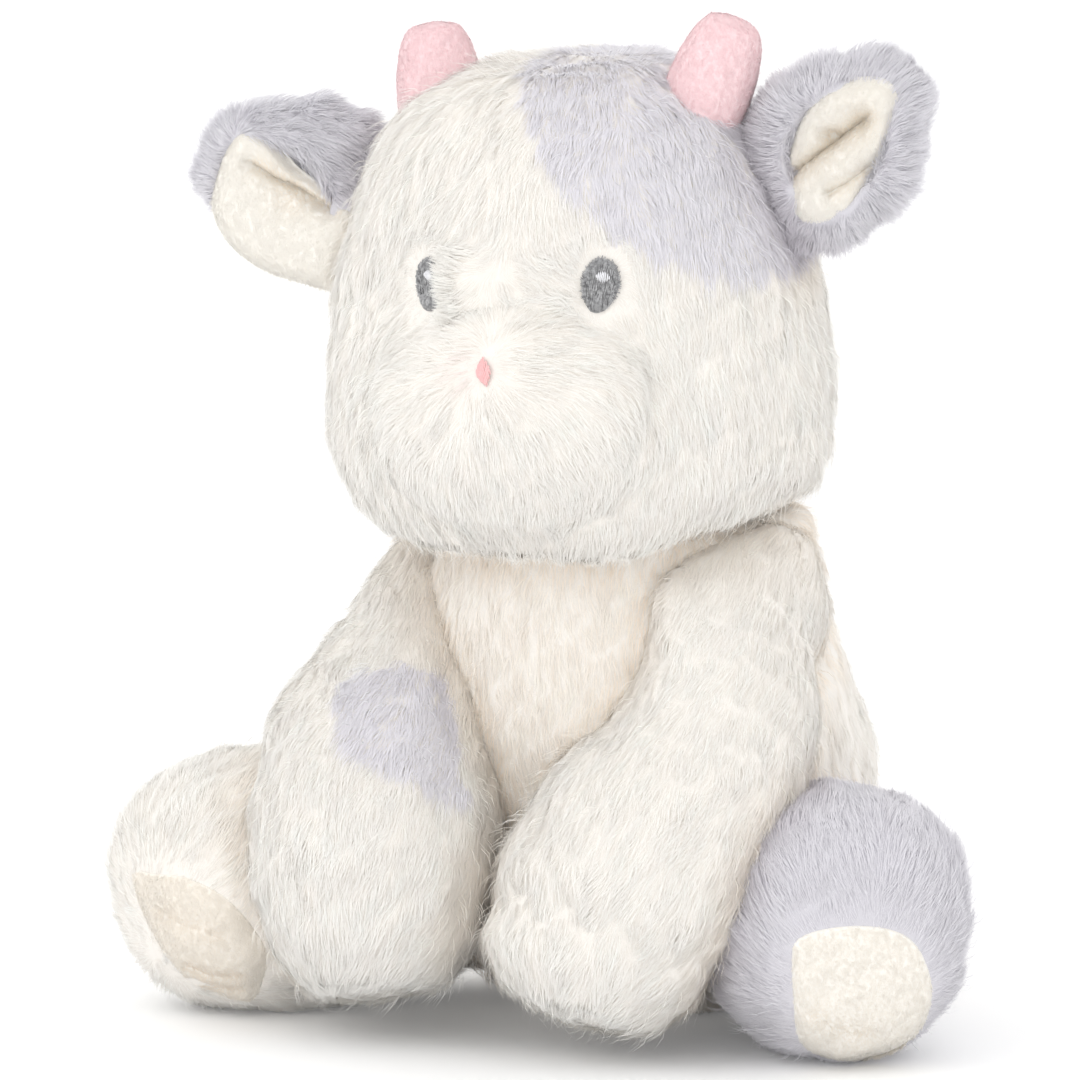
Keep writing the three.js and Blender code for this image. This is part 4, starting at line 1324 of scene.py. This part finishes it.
def make_filling(node, body):
    """Fibre filling: the solid's form, drawn in a little and lumpy like teased wadding."""
    obj = skin_object(f"{node}_fibre", [node], FILLING, voxel=2.4, smooth=4)
    lumps = wave_noise(points_of(obj.data), FILLING_LUMPS["size"], 5) * FILLING_LUMPS["height"]
    push_out(obj.data, lumps - FILLING_INSET)
    dress(body, obj, "stuffing", node, fill=0.8)


def make_pouch():
    """The cloth pouch that holds the rattle in the filling, gathered at its top."""
    obj = skin_object("rattle_pouch_cloth", ["rattle_pouch"], POUCH_CLOTH, voxel=1.2, smooth=4)
    points, middle = points_of(obj.data), middle_of("rattle_pouch")
    low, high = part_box("rattle_pouch")
    turn = np.arctan2(points[:, 1] - middle[1], points[:, 0] - middle[0])
    top = smoothstep((points[:, 2] - low[2]) / (high[2] - low[2]), 0.6, 1.0)
    push_out(obj.data, np.sin(turn * PLEATS) * PLEAT_DEPTH * top - POUCH_INSET)
    dress("torso", obj, "pouch_cloth", "rattle_pouch", fill=0.4)


def paint(nodes, material):
    for node in nodes:
        for holder in frame["nodes"][node].material_slots:
            holder.material = material


# Floor, light and camera

WORLD_LIGHT = 1.08
FLOOR_WHITE = 0.97
FLOOR_LIFT = 0.1
LAMPS = {
    "key": {"at": (-0.9, -1.3, 1.3), "size": 1.2, "power": 3.5},
    "fill": {"at": (0.7, -1.7, 0.15), "size": 1.0, "power": 4.0},
}


def make_floor():
    """A pale floor that keeps the shadow. The camera sees it a little lifted, but no light leaves it."""
    bpy.ops.mesh.primitive_grid_add(x_subdivisions=2, y_subdivisions=2, size=8.0)
    floor = bpy.context.object
    floor.name = "floor"
    material, tree, shader = new_material("floor_white")
    shader.inputs["Base Color"].default_value = (FLOOR_WHITE, FLOOR_WHITE, FLOOR_WHITE, 1)
    set_finish(shader, Finish(roughness=0.9, sheen=0.0, specular=0.3))
    shader.inputs["Emission Color"].default_value = (1, 1, 1, 1)
    seen = tree.nodes.new("ShaderNodeLightPath")
    scale = tree.nodes.new("ShaderNodeMath")
    scale.operation = "MULTIPLY"
    scale.inputs[1].default_value = FLOOR_LIFT
    tree.links.new(seen.outputs["Is Camera Ray"], scale.inputs[0])
    tree.links.new(scale.outputs["Value"], shader.inputs["Emission Strength"])
    floor.data.materials.append(material)


def make_world():
    """White where the camera or a gloss sees it, and a plain even light otherwise."""
    world = bpy.data.worlds.new("studio")
    bpy.context.scene.world = world
    world.use_nodes = True
    tree = world.node_tree
    background = tree.nodes["Background"]
    background.inputs["Color"].default_value = (1, 1, 1, 1)
    path = tree.nodes.new("ShaderNodeLightPath")
    seen = path.outputs["Is Camera Ray"]
    for ray in ("Is Glossy Ray", "Is Transmission Ray"):
        either = tree.nodes.new("ShaderNodeMath")
        either.operation = "MAXIMUM"
        tree.links.new(seen, either.inputs[0])
        tree.links.new(path.outputs[ray], either.inputs[1])
        seen = either.outputs["Value"]
    strength = tree.nodes.new("ShaderNodeMapRange")
    strength.inputs["To Min"].default_value = WORLD_LIGHT
    strength.inputs["To Max"].default_value = 1.0
    tree.links.new(seen, strength.inputs["Value"])
    tree.links.new(strength.outputs["Result"], background.inputs["Strength"])


def area_lamp(name, at, size, power):
    data = bpy.data.lights.new(name, "AREA")
    data.shape = "DISK"
    data.size = size
    data.energy = power
    lamp = new_object(name, data)
    lamp.location = at
    lamp.rotation_euler = (AIM - Vector(at)).to_track_quat("-Z", "Y").to_euler()


def make_camera():
    data = bpy.data.cameras.new("camera")
    data.lens = LENS
    data.sensor_width = 36
    data.clip_start, data.clip_end = 0.1, 50
    camera = new_object("camera", data)
    camera.location = AIM + Vector(TO_CAMERA) * DISTANCE
    camera.rotation_euler = Vector(-TO_CAMERA).to_track_quat("-Z", "Y").to_euler()
    bpy.context.scene.camera = camera


# The whole calf

def make_skins():
    sculpts = {
        "torso": nudge(TORSO_NUDGES),
        "head": sculpt_head,
        "arm_left": sculpt_arm_left,
        "arm_right": nudge(ARM_RIGHT_NUDGES),
        "leg_left": nudge(LEG_LEFT_NUDGES),
        "leg_right": nudge(LEG_RIGHT_NUDGES),
    }
    skins = {}
    for body, sculpt in sculpts.items():
        skins[body] = Skin(body, "grey" if body == "leg_left" else "cream", sculpt=sculpt)
    skins["tail"] = Skin("tail", "cream", voxel=1.0, smooth=6)
    for side in SIDES:
        body = f"ear_{side}"
        skins[body] = Skin(body, "grey", voxel=0.9, smooth=8, sculpt=ear_sculpt(side),
                           coat=EAR_UNDERCOAT)
    for body, skin in skins.items():
        skin.look_round([other for name, other in skins.items() if name != body])
    return skins


def make_outside():
    skins = make_skins()
    make_torso(skins["torso"])
    make_head(skins["head"])
    make_arm(skins["arm_left"])
    make_arm(skins["arm_right"])
    make_leg(skins["leg_left"], GREY, "grey_plush")
    make_leg(skins["leg_right"], CREAM, "cream_plush")
    for side in SIDES:
        make_ear(side, skins[f"ear_{side}"])
    for side in SIDES:
        make_horn(side)
    make_tail(skins["tail"])


def make_inside():
    for body, nodes in BODY_NODES.items():
        for node in nodes:
            if "stuffing" in node:
                make_filling(node, body)
    make_pouch()
    paint(["rattle_case_lower", "rattle_case_upper"], CASE_PLASTIC)
    paint([f"rattle_ball_{i}" for i in range(1, 6)], BALL_PLASTIC)


make_outside()
make_inside()
make_floor()
make_world()
for name, lamp in LAMPS.items():
    area_lamp(name, **lamp)
make_camera()
bpy.context.scene.view_settings.view_transform = "Standard"
